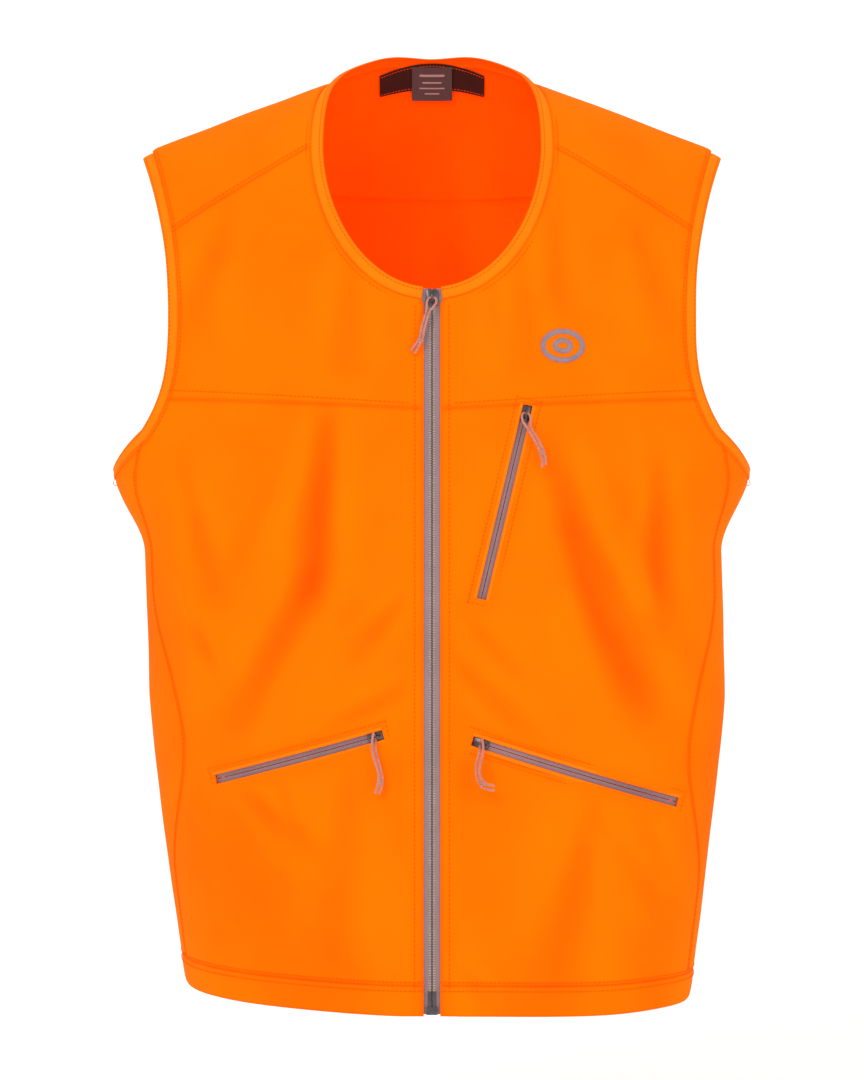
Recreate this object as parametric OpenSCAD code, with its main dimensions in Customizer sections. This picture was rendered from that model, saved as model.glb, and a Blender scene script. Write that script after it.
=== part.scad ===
// Field vest: a sleeveless zip-front garment, worn shape, with three zipped pockets.
// Millimetres. +Z up, the front faces -Y, the wearer's left is +X.
// The origin is midway between the shoulders, level with the side of the neck.

/* [Body] */
// Drop from the side of the neck to the hem
body_len = 678; // [600:1:760]
// Half width at the chest, just below the arms
chest_half_w = 217; // [190:1:250]
// Half width at the tip of the underarm
underarm_half_w = 240; // [215:1:280]
// Half width at the hem
hem_half_w = 188; // [165:1:225]
// How far the front stands forward at the neck
neck_depth = 118; // [95:1:140]
// How far the front stands forward at the hem
hem_depth = 150; // [120:1:180]
// How far the back stands back at the shoulder blades
back_depth = 124; // [100:1:150]
// How far the back stands back at the hem
back_hem_depth = 142; // [110:1:170]
// Sideways twist of the lower body, as a slope
hem_twist = 0.2; // [0:0.01:0.25]
// Thickness of the shell fabric
fabric_t = 1.2; // [0.8:0.1:1.6]

/* [Neck and arms] */
// Half width of the neck opening
neck_half_w = 80; // [66:1:92]
// Depth of the front of the neck below its sides
neck_drop = 162; // [130:1:190]
// Half width of the front across the armholes
chest_gap_half_w = 193; // [170:1:205]
// Half width at the tip of the shoulder
shoulder_half_w = 220; // [200:1:235]
// Depth of the armhole at the underarm below the side of the neck
underarm_drop = 289; // [260:1:310]
// Width of the bands round the neck and the armholes
band_w = 9; // [6:0.5:12]
// Height of the hem band
hem_band_h = 21; // [15:1:30]

/* [Zips] */
// Width of the visible gap that each zip sits in
zip_gap_w = 11.8; // [10:0.1:14]
// Width of one tape of the front zip
tape_w = 13; // [10:0.5:16]
// Half width of a closed row of teeth
teeth_half_w = 3; // [2.4:0.1:3.6]
// Thickness of the teeth
teeth_t = 2.2; // [1.6:0.1:2.6]
// Length of a slider
slider_len = 12; // [9:0.5:14]
// Width of a slider
slider_w = 9.2; // [8:0.1:9.6]
// Thickness of the pull cord
cord_d = 1.8; // [1.2:0.1:2]
// Thickness of a pull cord's knot
knot_d = 4.8; // [4:0.1:5.4]

/* [Pockets] */
// Width of the visible gap of a pocket zip
pocket_gap_w = 9; // [8:0.1:11]
// Length of the chest pocket's zip
chest_zip_len = 143; // [110:1:170]
// Lean of the chest pocket's zip off upright
chest_zip_lean = 13.6; // [5:0.1:20]
// Depth of the hand pocket bags below their zips
bag_drop = 110; // [80:5:120]

/* [Hidden] */
$fn = 32;

// Gap kept between two pieces that are sewn edge to edge
seam_gap = 0.6;
// Running gap between a slider and its teeth
slide_gap = 0.4;

// Levels, measured up from the side of the neck
hem_z = -body_len;
hem_seam_z = hem_z + hem_band_h;
underarm_z = -underarm_drop;
seam_top_z = underarm_z + 27;
chest_seam_z = -249;
chest_seam_arm_z = chest_seam_z + 12;
back_seam_z = -70;
waist_z = -458;
flare_z = -352;
twist_top_z = -330;
twist_full_z = -500;
twist_soft = 50;
shoulder_z = -51;
arm_waist_z = -179;

// Section: how square the body is in plan, and how fast the shoulders round over
squareness = 2.4;
round_drop = 200;
neck_x = 85;
neck_soft = 30;
shoulder_slope = (-shoulder_z) / (shoulder_half_w - neck_x);
nape_rise = 47;

// Tapes: thickness, and how far the middle of each lies behind the middle of the fabric
tape_t = 0.6;
tape_y = fabric_t / 2 + seam_gap + tape_t / 2;
pocket_tape_y = tape_y + 2;
// Slider: plate thickness, post between the rows, and the bridge that holds the cord
plate_t = 1;
row_gap = 0.55;
post_half_w = 0.25;
bridge_rise = cord_d + 0.8;
bridge_t = 1.2;

function smooth(t) = let(c = max(0, min(1, t))) c * c * (3 - 2 * c);
function mix(a, b, t) = a + (b - a) * t;
function unit(v) = v / norm(v);

// Half width, depth and plan section of the body at a height
function half_w(z) = z < waist_z
  ? chest_half_w - (chest_half_w - hem_half_w) * pow((waist_z - z) / (waist_z - hem_z), 1.3)
  : chest_half_w + (underarm_half_w - chest_half_w) * smooth((z - flare_z) / (underarm_z - flare_z));
function front_d(z) = neck_depth
  + (hem_depth - neck_depth) * max(0, -neck_drop - z) / (body_len - neck_drop);
function back_d(z) = mix(back_depth, back_hem_depth, max(0, underarm_z - z) / (underarm_z - hem_z));
function section(x, z) = pow(max(0, 1 - pow(abs(x) / half_w(z), squareness)), 1 / squareness);
function twist(x, z) = hem_twist * smooth((twist_top_z - z) / (twist_top_z - twist_full_z))
  * x * x * x / (x * x + twist_soft * twist_soft);

// Height of the shoulder line, and the rounding of the front and the back below it
function ridge_z(x) = shoulder_slope * (norm([neck_x, neck_soft]) - norm([x, neck_soft]))
  + nape_rise * pow(cos(90 * pow(min(1, abs(x) / neck_half_w), 1.5)), 2);
function rounding(x, z) = let(t = max(0, min(1, (ridge_z(x) - z) / round_drop)))
  sqrt(1 - pow(1 - t, 2));
function front_y(x, z) = -front_d(z) * section(x, z) * rounding(x, z) - twist(x, z);
function back_y(x, z) = back_d(z) * section(x, z) * rounding(x, z) - twist(x, z);
function on_front(x, z) = [x, front_y(x, z), z];
function on_back(x, z) = [x, back_y(x, z), z];

// A point on the arch over the shoulder: a is -90 at the front, 0 on top and 90 at the back
function over_shoulder(x, a) = [x, (a < 0 ? neck_depth : back_depth) * section(x, 0) * sin(a),
  ridge_z(x) - round_drop * (1 - cos(a))];
function arch_angle(x, z) = acos(max(0, min(1, 1 - (ridge_z(x) - z) / round_drop)));

// A point round the side: s is 0 at the front seam and 1 at the back seam
seam_share = 0.955;
seam_dip = 0.1;
seam_dip_z = -488;
seam_dip_h = 110;
function seam_ratio(z) = seam_share
  - seam_dip * pow(cos(90 * min(1, abs(z - seam_dip_z) / seam_dip_h)), 2)
  - (seam_share - arm_x(seam_top_z) / half_w(seam_top_z))
    * smooth((z - flare_z) / (seam_top_z - flare_z));
function round_side(s, z, side = 1) = let(
    start = asin(pow(seam_ratio(z), squareness / 2)),
    a = mix(start, 180 - start, s),
    x = side * half_w(z) * pow(sin(a), 2 / squareness),
    y = pow(abs(cos(a)), 2 / squareness) * (a < 90 ? -front_d(z) : back_d(z)))
  [x, y - twist(x, z), z];

// How far round the side half a seam's gap reaches, from the seam at s
function seam_step(s, z) = seam_gap / 200 / norm(round_side(s + 0.01, z) - round_side(s, z));

// The way out of the fabric at a point on it
function depth_there(p, y) = (y < 0 ? front_d(p[2]) : back_d(p[2]));
function level(p) = let(y = p[1] + twist(p[0], p[2]), d = depth_there(p, y))
  p[2] > -neck_drop
  ? pow(y / (d * section(p[0], p[2])), 2)
    + pow(max(0, 1 - (ridge_z(p[0]) - p[2]) / round_drop), 2)
  : pow(abs(p[0]) / half_w(p[2]), squareness)
    + pow(abs(y) / (d * rounding(p[0], p[2])), squareness);
function outward(p) = let(e = 0.4, g = level(p))
  unit([level(p + [e, 0, 0]) - g, level(p + [0, e, 0]) - g, level(p + [0, 0, e]) - g]);
function set_in(p, along, w) = p + w * unit(cross(along, outward(p)));

// The neck edge: a is 0 at the centre front, 90 at the wearer's left, 180 at the nape
neck_side_z = -50;
nape_angle = 34;
neck_side_angle = arch_angle(neck_half_w, neck_side_z);
function mirror_x(p) = [-p[0], p[1], p[2]];
function neck_edge(a) = a > 180 ? mirror_x(neck_edge(360 - a))
  : a < 0 ? mirror_x(neck_edge(-a))
  : a < 90 ? on_front(neck_half_w * sin(a), neck_side_z - (neck_drop + neck_side_z) * cos(a))
  : over_shoulder(neck_half_w * sin(a), mix(-neck_side_angle, nape_angle, -cos(a)));
function neck_set_in(a, w) = set_in(neck_edge(a), neck_edge(a + 1) - neck_edge(a - 1), w);

// The armhole edge on the wearer's left: s runs 0..1 down the front, 1..3 under, 3..4 up the back
back_gap_extra = 8;
function arm_x(z) = z > arm_waist_z
  ? mix(chest_gap_half_w, shoulder_half_w,
      pow((z - arm_waist_z) / (shoulder_z - arm_waist_z), 2))
  : mix(chest_gap_half_w, underarm_half_w,
      pow((arm_waist_z - z) / (arm_waist_z - underarm_z), 3));
function arm_z(s) = mix(shoulder_z, seam_top_z, s);
function arm_edge(s) = s < 0 ? arm_edge(s + 4)
  : s > 4 ? arm_edge(s - 4)
  : s < 1 ? let(z = arm_z(s), x = arm_x(z)) on_front(x, min(z, ridge_z(x)))
  : s > 3 ? let(z = arm_z(4 - s), x = arm_x(z) + back_gap_extra * pow(sin(180 * (s - 3)), 2))
    on_back(x, min(z, ridge_z(x)))
  : round_side((s - 1) / 2, mix(seam_top_z, underarm_z, cos(90 * (s - 2))));
function arm_set_in(s, w) = set_in(arm_edge(s), arm_edge(s + 0.02) - arm_edge(s - 0.02), w);
function arm_share(z) = (shoulder_z - z) / (shoulder_z - seam_top_z);

// Where the panels meet the bands and each other
panel_in = band_w + seam_gap;
gap_x = zip_gap_w / 2;
neck_start = asin((gap_x + 0.4) / neck_half_w);
yoke_neck_a = 88;
yoke_arm_s = arm_share(-119);
chest_arm_s = arm_share(chest_seam_arm_z);
back_arm_s = 4 - arm_share(back_seam_z);
function arch_place(p) = [p[0],
  atan2(p[1] / ((p[1] < 0 ? neck_depth : back_depth) * section(p[0], 0)),
    1 - (ridge_z(p[0]) - p[2]) / round_drop)];
yoke_in = arch_place(neck_set_in(yoke_neck_a, panel_in));
yoke_out = arch_place(arm_set_in(yoke_arm_s, panel_in));
function yoke_seam(u) = let(q = mix(yoke_in, yoke_out, u)) over_shoulder(q[0], q[1]);

// One sheet of fabric: a grid of points on its middle, thickened both ways
module sheet(grid, t, turned = false, offset = 0) {
  ni = len(grid);
  nj = len(grid[0]);
  n = ni * nj;
  function at(i, j) = i * nj + j;
  function two(a, b, c, d) = turned ? [[a, c, b], [a, d, c]] : [[a, b, c], [a, c, d]];
  outer = [for (row = grid) for (p = row) p + outward(p) * (offset + t / 2)];
  inner = [for (row = grid) for (p = row) p + outward(p) * (offset - t / 2)];
  faces = [
    for (i = [0:ni - 2]) for (j = [0:nj - 2])
      each two(at(i, j), at(i + 1, j), at(i + 1, j + 1), at(i, j + 1)),
    for (i = [0:ni - 2]) for (j = [0:nj - 2])
      each two(n + at(i, j), n + at(i, j + 1), n + at(i + 1, j + 1), n + at(i + 1, j)),
    for (i = [0:ni - 2])
      each two(at(i + 1, 0), at(i, 0), n + at(i, 0), n + at(i + 1, 0)),
    for (i = [0:ni - 2])
      each two(at(i, nj - 1), at(i + 1, nj - 1), n + at(i + 1, nj - 1), n + at(i, nj - 1)),
    for (j = [0:nj - 2])
      each two(at(0, j), at(0, j + 1), n + at(0, j + 1), n + at(0, j)),
    for (j = [0:nj - 2])
      each two(at(ni - 1, j + 1), at(ni - 1, j), n + at(ni - 1, j), n + at(ni - 1, j + 1))];
  polyhedron(concat(outer, inner), faces, convexity = 6);
}

// Shell panels
shell_color = "#FF7A00";
tape_color = "#8F7478";
metal_color = "#6E6A68";
cord_color = "#B98A80";
teeth_color = "#A99A8C";
bag_color = "#D9D4CC";
chest_steps = 9;
neck_steps = 4;
// Angle round the neck from the zip to the first point beyond it, and the depth of a zip's cut
neck_step_a = 6;
cut_depth = 14;
function chest_left_edge(j) = j <= neck_steps
  ? let(top = neck_set_in(neck_start, panel_in)[2])
    [gap_x, mix(chest_seam_z + seam_gap / 2, top, j / neck_steps)]
  : let(p = neck_set_in(mix(neck_start + neck_step_a, yoke_neck_a,
      (j - neck_steps - 1) / (chest_steps - 1)), panel_in)) [p[0], p[2]];
function chest_right_edge(v) = let(p = arm_set_in(mix(chest_arm_s - arm_split, yoke_arm_s, v), panel_in))
  [p[0], p[2]];
module chest_panel(side) {
  rows = neck_steps + chest_steps;
  top = yoke_seam(0)[2];
  bow_end = yoke_seam(1)[2];
  grid = [for (i = [0:10]) let(u = i / 10) [for (j = [0:rows]) let(
    v = j / rows,
    q = mix(chest_left_edge(j), chest_right_edge(v), u),
    bow = (yoke_seam(u)[2] - mix(top, bow_end, u)) * pow(v, 4) - seam_gap / 2 * v,
    p = on_front(q[0], q[1] + bow)) [side * p[0], p[1], p[2]]]];
  color(shell_color) sheet(grid, fabric_t, side < 0);
}
seam_rows = 14;
arm_rows = 3;
// Drop from the top of the side seams to the last level set by them, and the split at the chest seam
seam_end_drop = 12;
arm_split = 0.003;
// Gap between the back panel and its armhole bands
back_arm_gap = 2;
function front_side_edge(j) = j <= seam_rows
  ? let(z = mix(hem_seam_z + seam_gap / 2, seam_top_z - seam_end_drop, j / seam_rows))
    [round_side(-seam_step(0, z), z)[0], z]
  : let(p = arm_set_in(mix(1, chest_arm_s + arm_split, (j - seam_rows - 1) / (arm_rows - 1)), panel_in))
    [p[0], p[2]];
function spread(u) = 1 - pow(1 - u, 1.5);
module front_blank(side) {
  rows = seam_rows + arm_rows;
  grid = [for (i = [0:14]) let(u = spread(i / 14)) [for (j = [0:rows]) let(
    edge = front_side_edge(j),
    cf_z = mix(hem_seam_z + seam_gap / 2, chest_seam_z - seam_gap / 2, j / rows),
    x = mix(gap_x, edge[0], u),
    z = mix(cf_z, edge[1], u)) on_front(side * x, z)]];
  sheet(grid, fabric_t, side < 0);
}
side_top_dip = 3;
module side_panel(side) {
  grid = [for (i = [0:12])
    let(top = arm_set_in(1 + i / 6, panel_in)[2] - seam_gap - side_top_dip * abs(i / 6 - 1))
    [for (j = [0:16]) let(z = mix(hem_seam_z + seam_gap / 2, top, j / 16),
      s = mix(seam_step(0, z), 1 - seam_step(1, z), i / 12)) round_side(s, z, side)]];
  color(shell_color) sheet(grid, fabric_t, side < 0);
}
function back_side_edge(j) = j <= seam_rows
  ? let(z = mix(hem_seam_z + seam_gap / 2, seam_top_z - seam_end_drop, j / seam_rows))
    [round_side(1 + seam_step(1, z), z)[0], z]
  : let(p = arm_set_in(mix(3, back_arm_s, (j - seam_rows - 1) / 7), band_w + back_arm_gap))
    [p[0], min(p[2], back_seam_z - seam_gap)];
module back_panel() {
  grid = [for (i = [-12:12]) let(u = sign(i) * spread(abs(i) / 12)) [for (j = [0:seam_rows + 8])
    let(edge = back_side_edge(j)) on_back(u * edge[0], edge[1])]];
  color(shell_color) sheet(grid, fabric_t, true);
}
// Outer edge of the yoke: over the left shoulder, along the back seam, over the right shoulder
over_steps = 12;
seam_steps = 8;
half_steps = over_steps + seam_steps;
function yoke_outer(k) = k > half_steps ? let(q = yoke_outer(2 * half_steps - k)) [-q[0], q[1]]
  : k <= over_steps ? let(t = k / over_steps * (yoke_arm_s + 4 - back_arm_s),
      s = yoke_arm_s - t, p = arm_set_in(s < 0 ? s + 4 : s, panel_in)) arch_place(p)
  : let(end = arch_place(arm_set_in(back_arm_s, panel_in)),
      x = mix(end[0], 0, (k - over_steps) / seam_steps)) [x, arch_angle(x, back_seam_z)];
yoke_turn_a = 125;
function yoke_inner(k) = k > half_steps ? let(q = yoke_inner(2 * half_steps - k)) [-q[0], q[1]]
  : arch_place(neck_set_in(k <= over_steps ? mix(yoke_neck_a, yoke_turn_a, k / over_steps)
      : mix(yoke_turn_a, 180, (k - over_steps) / seam_steps), panel_in + seam_gap / 2 * min(1, k)));
module back_yoke() {
  grid = [for (r = [0:7]) [for (k = [0:2 * half_steps])
    let(q = mix(yoke_inner(k), yoke_outer(k), r / 7)) over_shoulder(q[0], q[1])]];
  color(shell_color) sheet(grid, fabric_t, true);
}

// Bands
module neck_band() {
  steps = 44;
  grid = [for (w = [0, band_w / 2, band_w]) [for (i = [0:steps])
    let(a = mix(neck_start, 360 - neck_start, i / steps)) neck_set_in(a, w)]];
  color(shell_color) sheet(grid, fabric_t, true);
}
module armhole_band(side) {
  steps = 52;
  ring = [for (w = [0, band_w / 2, band_w]) [for (i = [0:steps])
    let(p = arm_set_in(0.02 + 3.96 * i / steps, w)) [side * p[0], p[1], p[2]]]];
  color(shell_color) sheet(ring, fabric_t, side < 0);
}
// Way round the body at one level: t runs 0..1 from the front zip, past the left side, to the back
function round_body(t, z, side) = let(x = half_w(z) * seam_ratio(z))
  t < 0.35 ? on_front(side * mix(gap_x, x, spread(t / 0.35)), z)
  : t < 0.65 ? round_side((t - 0.35) / 0.3, z, side)
  : on_back(side * mix(0, x, spread((1 - t) / 0.35)), z);
module hem_band() {
  steps = 26;
  ring = [for (z = [hem_z, hem_seam_z - seam_gap / 2]) concat(
    [for (i = [0:steps]) round_body(i / steps, z, 1)],
    [for (i = [steps - 1:-1:0]) round_body(i / steps, z, -1)])];
  color(shell_color) sheet(ring, hem_t, true, hem_out);
}
hem_t = fabric_t + 0.4;
hem_out = 0.3;

// Inside the nape, and on the chest
tape_half_w = 42;
neck_tape_z = [15, 33];
neck_tape_dip = 8;
neck_tape_fan = 4;
neck_tape_in = -1.8;
trim_t = 0.8;
label_in = -3;
label_half_w = 16.5;
label_top_z = 31;
label_h = 24;
module neck_tape() {
  grid = [for (i = [-8:8]) let(u = i / 8) [for (v = [0, 0.5, 1])
    on_back(u * tape_half_w,
      mix(neck_tape_z[0], neck_tape_z[1], v) - (neck_tape_dip + neck_tape_fan * v) * u * u)]];
  color("#3A1A14") sheet(grid, trim_t, true, neck_tape_in);
}
module size_label() {
  grid = [for (i = [-3:3]) [for (v = [0, 0.5, 1])
    on_back(i / 3 * label_half_w, label_top_z - label_h * (1 - v))]];
  color("#4A4448") sheet(grid, trim_t, true, label_in);
}
badge = [93.5, -204];
badge_size = [34, 26];
badge_out = 1.5;
module chest_badge() {
  grid = [for (i = [-5:5]) [for (j = [-5:5]) let(u = i / 5, v = j / 5)
    on_front(badge[0] + badge_size[0] / 2 * u * sqrt(1 - v * v / 2),
      badge[1] + badge_size[1] / 2 * v * sqrt(1 - u * u / 2))]];
  color("#A08A90") sheet(grid, trim_t, false, badge_out);
}

// Zips. In a zip's own frame x runs across it, y goes into the body and z runs up to its closed end
module placed(o, x, y, z) {
  multmatrix([[x[0], y[0], z[0], o[0]], [x[1], y[1], z[1], o[1]], [x[2], y[2], z[2], o[2]]])
    children();
}
front_top = on_front(0, -neck_drop);
front_up = unit(front_top - on_front(0, hem_z));
front_zip_len = norm(front_top - on_front(0, hem_z)) - 1;
module in_front_zip() {
  placed(front_top, [1, 0, 0], cross(front_up, [1, 0, 0]), front_up) children();
}
chest_zip_x = 68.6;
chest_zip_z = -246.5;
chest_top = on_front(chest_zip_x, chest_zip_z);
chest_bottom = on_front(chest_zip_x - chest_zip_len * sin(chest_zip_lean),
  chest_zip_z - chest_zip_len * cos(chest_zip_lean));
chest_up = unit(chest_top - chest_bottom);
chest_across = unit(cross(chest_up, outward((chest_top + chest_bottom) / 2)) * -1);
module in_chest_zip() {
  placed(chest_top, -chest_across, cross(chest_up, -chest_across), chest_up) children();
}
// A hand pocket's zip is an arc in one plane, through three points of the front
hand_left_ends = [[28.5, -485], [175, -530]];
hand_right_ends = [[-34.5, -481], [-158, -518]];
function hand_points(ends) = [for (t = [0, 0.5, 1]) let(q = mix(ends[0], ends[1], t))
  on_front(q[0], q[1])];
function arc_centre(p) = let(u = p[1] - p[0], v = p[2] - p[0], w = cross(u, v))
  p[0] + (cross(w, u) * (v * v) + cross(v, w) * (u * u)) / (2 * w * w);
function hand_centre(ends) = arc_centre(hand_points(ends));
function hand_axis(ends) = let(p = hand_points(ends), c = arc_centre(p))
  unit(cross(p[0] - c, p[2] - c));
function hand_radius(ends) = norm(hand_points(ends)[0] - hand_centre(ends));
function hand_sweep(ends) = let(p = hand_points(ends), c = arc_centre(p))
  acos(unit(p[0] - c) * unit(p[2] - c));
module in_hand_arc(ends) {
  out = unit(hand_points(ends)[0] - hand_centre(ends));
  axis = hand_axis(ends);
  placed(hand_centre(ends), out, cross(axis, out), axis) children();
}
module along_arc(ends, from_mm, to_mm) {
  r = hand_radius(ends);
  in_hand_arc(ends) rotate([0, 0, from_mm / r * 180 / PI])
    rotate_extrude(angle = (to_mm - from_mm) / r * 180 / PI, $fn = 180) translate([r, 0])
    children();
}
function hand_len(ends) = hand_radius(ends) * hand_sweep(ends) * PI / 180;

stop_len = 1.6;
stop_gap = 0.3;
stop_over = 0.4;
tape_before = 2;
tape_after = 4;
pin_len = 11;
box_h = 5.5;
box_w = 8;
slider_start = slider_len / 2 + 2;
pocket_slider_start = slider_len / 2 + 0.4;

module bar(x0, x1, y, t, z0, z1) {
  translate([x0, y - t / 2, -z1]) cube([x1 - x0, t, z1 - z0]);
}
module front_tape(side) {
  color(tape_color) in_front_zip() scale([side, 1, 1])
    bar(teeth_half_w, tape_w, tape_y, tape_t, 1, front_zip_len - box_h - 0.5);
}
module front_teeth(side) {
  color(teeth_color) in_front_zip() scale([side, 1, 1])
    bar(row_gap, teeth_half_w, tape_y, teeth_t, stop_len + stop_gap + 1,
      front_zip_len - box_h - pin_len - stop_gap);
}
module front_top_stops() {
  color(metal_color) in_front_zip() for (side = [-1, 1]) scale([side, 1, 1])
    bar(row_gap, teeth_half_w, tape_y, teeth_t, 1, 1 + stop_len);
}
module front_retainer_box() {
  color(metal_color) in_front_zip() {
    bar(-box_w / 2, box_w / 2, tape_y, teeth_t + 1, front_zip_len - box_h, front_zip_len);
    bar(row_gap, teeth_half_w, tape_y, teeth_t - 0.4, front_zip_len - box_h - pin_len,
      front_zip_len - box_h + 0.1);
  }
}
module front_insertion_pin() {
  color(metal_color) in_front_zip() scale([-1, 1, 1])
    bar(row_gap, teeth_half_w, tape_y, teeth_t - 0.4, front_zip_len - box_h - pin_len,
      front_zip_len - box_h - 0.05);
}
flap_in = 6;
flap_x = [-14, 18];
flap_start = 14;
module wind_flap() {
  color(shell_color) in_front_zip()
    bar(flap_x[0], flap_x[1], flap_in, fabric_t, flap_start, front_zip_len - hem_band_h);
}

pocket_tape_w = pocket_gap_w / 2 + 3.5;
module chest_tapes() {
  color(tape_color) in_chest_zip() for (side = [-1, 1]) scale([side, 1, 1])
    bar(teeth_half_w, pocket_tape_w, pocket_tape_y, tape_t, -tape_before,
      chest_zip_len + tape_after);
}
module chest_teeth() {
  color(teeth_color) in_chest_zip() for (side = [-1, 1]) scale([side, 1, 1])
    bar(row_gap, teeth_half_w, pocket_tape_y, teeth_t, stop_len, chest_zip_len - stop_len);
}
module chest_end_stops() {
  color(metal_color) in_chest_zip() {
    bar(-teeth_half_w, -row_gap, pocket_tape_y, teeth_t, -stop_over, stop_len - stop_gap);
    bar(row_gap, teeth_half_w, pocket_tape_y, teeth_t, -stop_over, stop_len - stop_gap);
    bar(-teeth_half_w, teeth_half_w, pocket_tape_y, teeth_t, chest_zip_len - stop_len + stop_gap,
      chest_zip_len + stop_over);
  }
}
module arc_bar(ends, h0, h1, y, t, from_mm, to_mm) {
  along_arc(ends, from_mm, to_mm) translate([-y - t / 2, h0]) square([t, h1 - h0]);
}
module hand_tapes(ends) {
  color(tape_color) for (side = [-1, 1])
    arc_bar(ends, side < 0 ? -pocket_tape_w : teeth_half_w,
      side < 0 ? -teeth_half_w : pocket_tape_w, pocket_tape_y, tape_t,
      -tape_before, hand_len(ends) + tape_after);
}
module hand_teeth(ends) {
  color(teeth_color) for (side = [-1, 1])
    arc_bar(ends, side < 0 ? -teeth_half_w : row_gap, side < 0 ? -row_gap : teeth_half_w,
      pocket_tape_y, teeth_t, stop_len, hand_len(ends) - stop_len);
}
module hand_end_stops(ends) {
  color(metal_color) {
    for (h = [-teeth_half_w, row_gap])
      arc_bar(ends, h, h + teeth_half_w - row_gap, pocket_tape_y, teeth_t, -stop_over, stop_len - stop_gap);
    arc_bar(ends, -teeth_half_w, teeth_half_w, pocket_tape_y, teeth_t,
      hand_len(ends) - stop_len + stop_gap, hand_len(ends) + stop_over);
  }
}
bag_in = -10;
bag_t = 2;
bag_rise = 8;
chest_bag_x = [26, 140];
chest_bag_z = [-420, -240];
module hand_bag(ends) {
  side = sign(ends[0][0]);
  grid = [for (i = [0:8]) let(q = mix(ends[0], ends[1], i / 8)) [for (v = [0:5])
    on_front(q[0], q[1] + mix(-bag_drop, bag_rise, v / 5))]];
  color(bag_color) sheet(grid, bag_t, side < 0, bag_in);
}
module chest_pocket_bag() {
  grid = [for (i = [0:6]) [for (v = [0:6])
    on_front(mix(chest_bag_x[0], chest_bag_x[1], i / 6),
      mix(chest_bag_z[0], chest_bag_z[1], v / 6))]];
  color(bag_color) sheet(grid, bag_t, false, bag_in);
}
module front_panel(side) {
  color(shell_color) difference() {
    front_blank(side);
    if (side > 0) {
      in_chest_zip() bar(-pocket_gap_w / 2, pocket_gap_w / 2, 0, cut_depth, 0,
        chest_zip_len);
      arc_bar(hand_left_ends, -pocket_gap_w / 2, pocket_gap_w / 2, 0, cut_depth, 0,
        hand_len(hand_left_ends));
    } else {
      arc_bar(hand_right_ends, -pocket_gap_w / 2, pocket_gap_w / 2, 0, cut_depth, 0,
        hand_len(hand_right_ends));
    }
  }
}

// A slider, with its middle at the origin of the zip's frame
module slider(width, ty) {
  plate = ty - teeth_t / 2 - slide_gap;
  top = plate - plate_t;
  color(metal_color) {
    for (y = [plate - plate_t, ty + teeth_t / 2 + slide_gap])
      translate([0, y + plate_t, 0]) rotate([90, 0, 0]) linear_extrude(plate_t)
        polygon([[-width / 2, -slider_len / 2 + 3], [-width / 2 + 2, -slider_len / 2],
          [width / 2 - 2, -slider_len / 2], [width / 2, -slider_len / 2 + 3],
          [width / 2, slider_len / 2 - 1], [width / 2 - 1, slider_len / 2],
          [-width / 2 + 1, slider_len / 2], [-width / 2, slider_len / 2 - 1]]);
    translate([-post_half_w, top, slider_len / 2 - 2.5])
      cube([2 * post_half_w, 2 * plate_t + teeth_t + 2 * slide_gap, 2]);
    for (z = [-slider_len / 2 + 2, slider_len / 2 - 2 - bridge_t])
      translate([-bridge_t / 2, top - bridge_rise - bridge_t, z])
        cube([bridge_t, bridge_rise + bridge_t + 0.01, bridge_t]);
    translate([-bridge_t / 2, top - bridge_rise - bridge_t, -slider_len / 2 + 2])
      cube([bridge_t, bridge_t, slider_len - 4]);
  }
}
function eye_y(ty) = ty - teeth_t / 2 - slide_gap - plate_t - cord_d / 2 - 0.3;
pocket_slider_w = pocket_gap_w - 1;
module at_hand_slider(ends) {
  in_hand_arc(ends) rotate([0, 0, pocket_slider_start / hand_radius(ends) * 180 / PI])
    placed([hand_radius(ends), 0, 0], [0, 0, 1], [-1, 0, 0], [0, -1, 0]) children();
}
module front_slider() {
  in_front_zip() translate([0, 0, -slider_start]) slider(slider_w, tape_y);
}
module chest_slider() {
  in_chest_zip() translate([0, 0, -pocket_slider_start]) slider(pocket_slider_w, pocket_tape_y);
}
module hand_slider(ends) {
  at_hand_slider(ends) slider(pocket_slider_w, pocket_tape_y);
}

// Pull cords: each is doubled through its slider's bridge and knotted. A route's points are
// measured from the eye under the bridge, along the vest's own axes
front_cord_a = [[-0.2, 0, 0], [-2, 0, -0.4], [-3.4, -0.6, -2.6], [-3.6, -1.4, -6], [-4, -2, -10],
  [-5.8, -2.5, -16], [-7.6, -2.9, -22.5], [-9, -3.2, -29.5], [-12, -3.2, -34], [-15, -3.2, -38]];
front_cord_b = [[0.2, 0, 0], [2, 0, -0.4], [3, -0.8, -3], [1.2, -2.2, -6.4], [-1.8, -2.7, -10.4],
  [-3.6, -3, -16], [-5.4, -3.2, -22.5], [-6.8, -3.4, -29.5], [-10, -3.4, -36], [-12.6, -3.4, -40]];
front_knot_at = [-8.2, -3.3, -31];
chest_cord_a = [[-0.2, 0, 0], [-1.8, -0.2, 0.2], [-2.9, -1.6, -2], [-2.4, -3.6, -5.6], [-0.4, -5.2, -9],
  [2.4, -6.4, -13.4], [5.4, -7.2, -18.6], [8.6, -7.8, -24.6], [11, -8.2, -32], [11.2, -8.4, -38.5]];
chest_cord_b = [[0.2, 0, 0], [2, 0, -0.6], [3, -1.2, -2.8], [3.2, -3.2, -5.8], [3, -4.8, -9.4],
  [4.8, -6, -13], [7.8, -7, -18], [10.9, -7.8, -24], [13.4, -8.2, -32], [13.8, -8.4, -37]];
chest_knot_at = [11.1, -8, -28.6];
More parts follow.
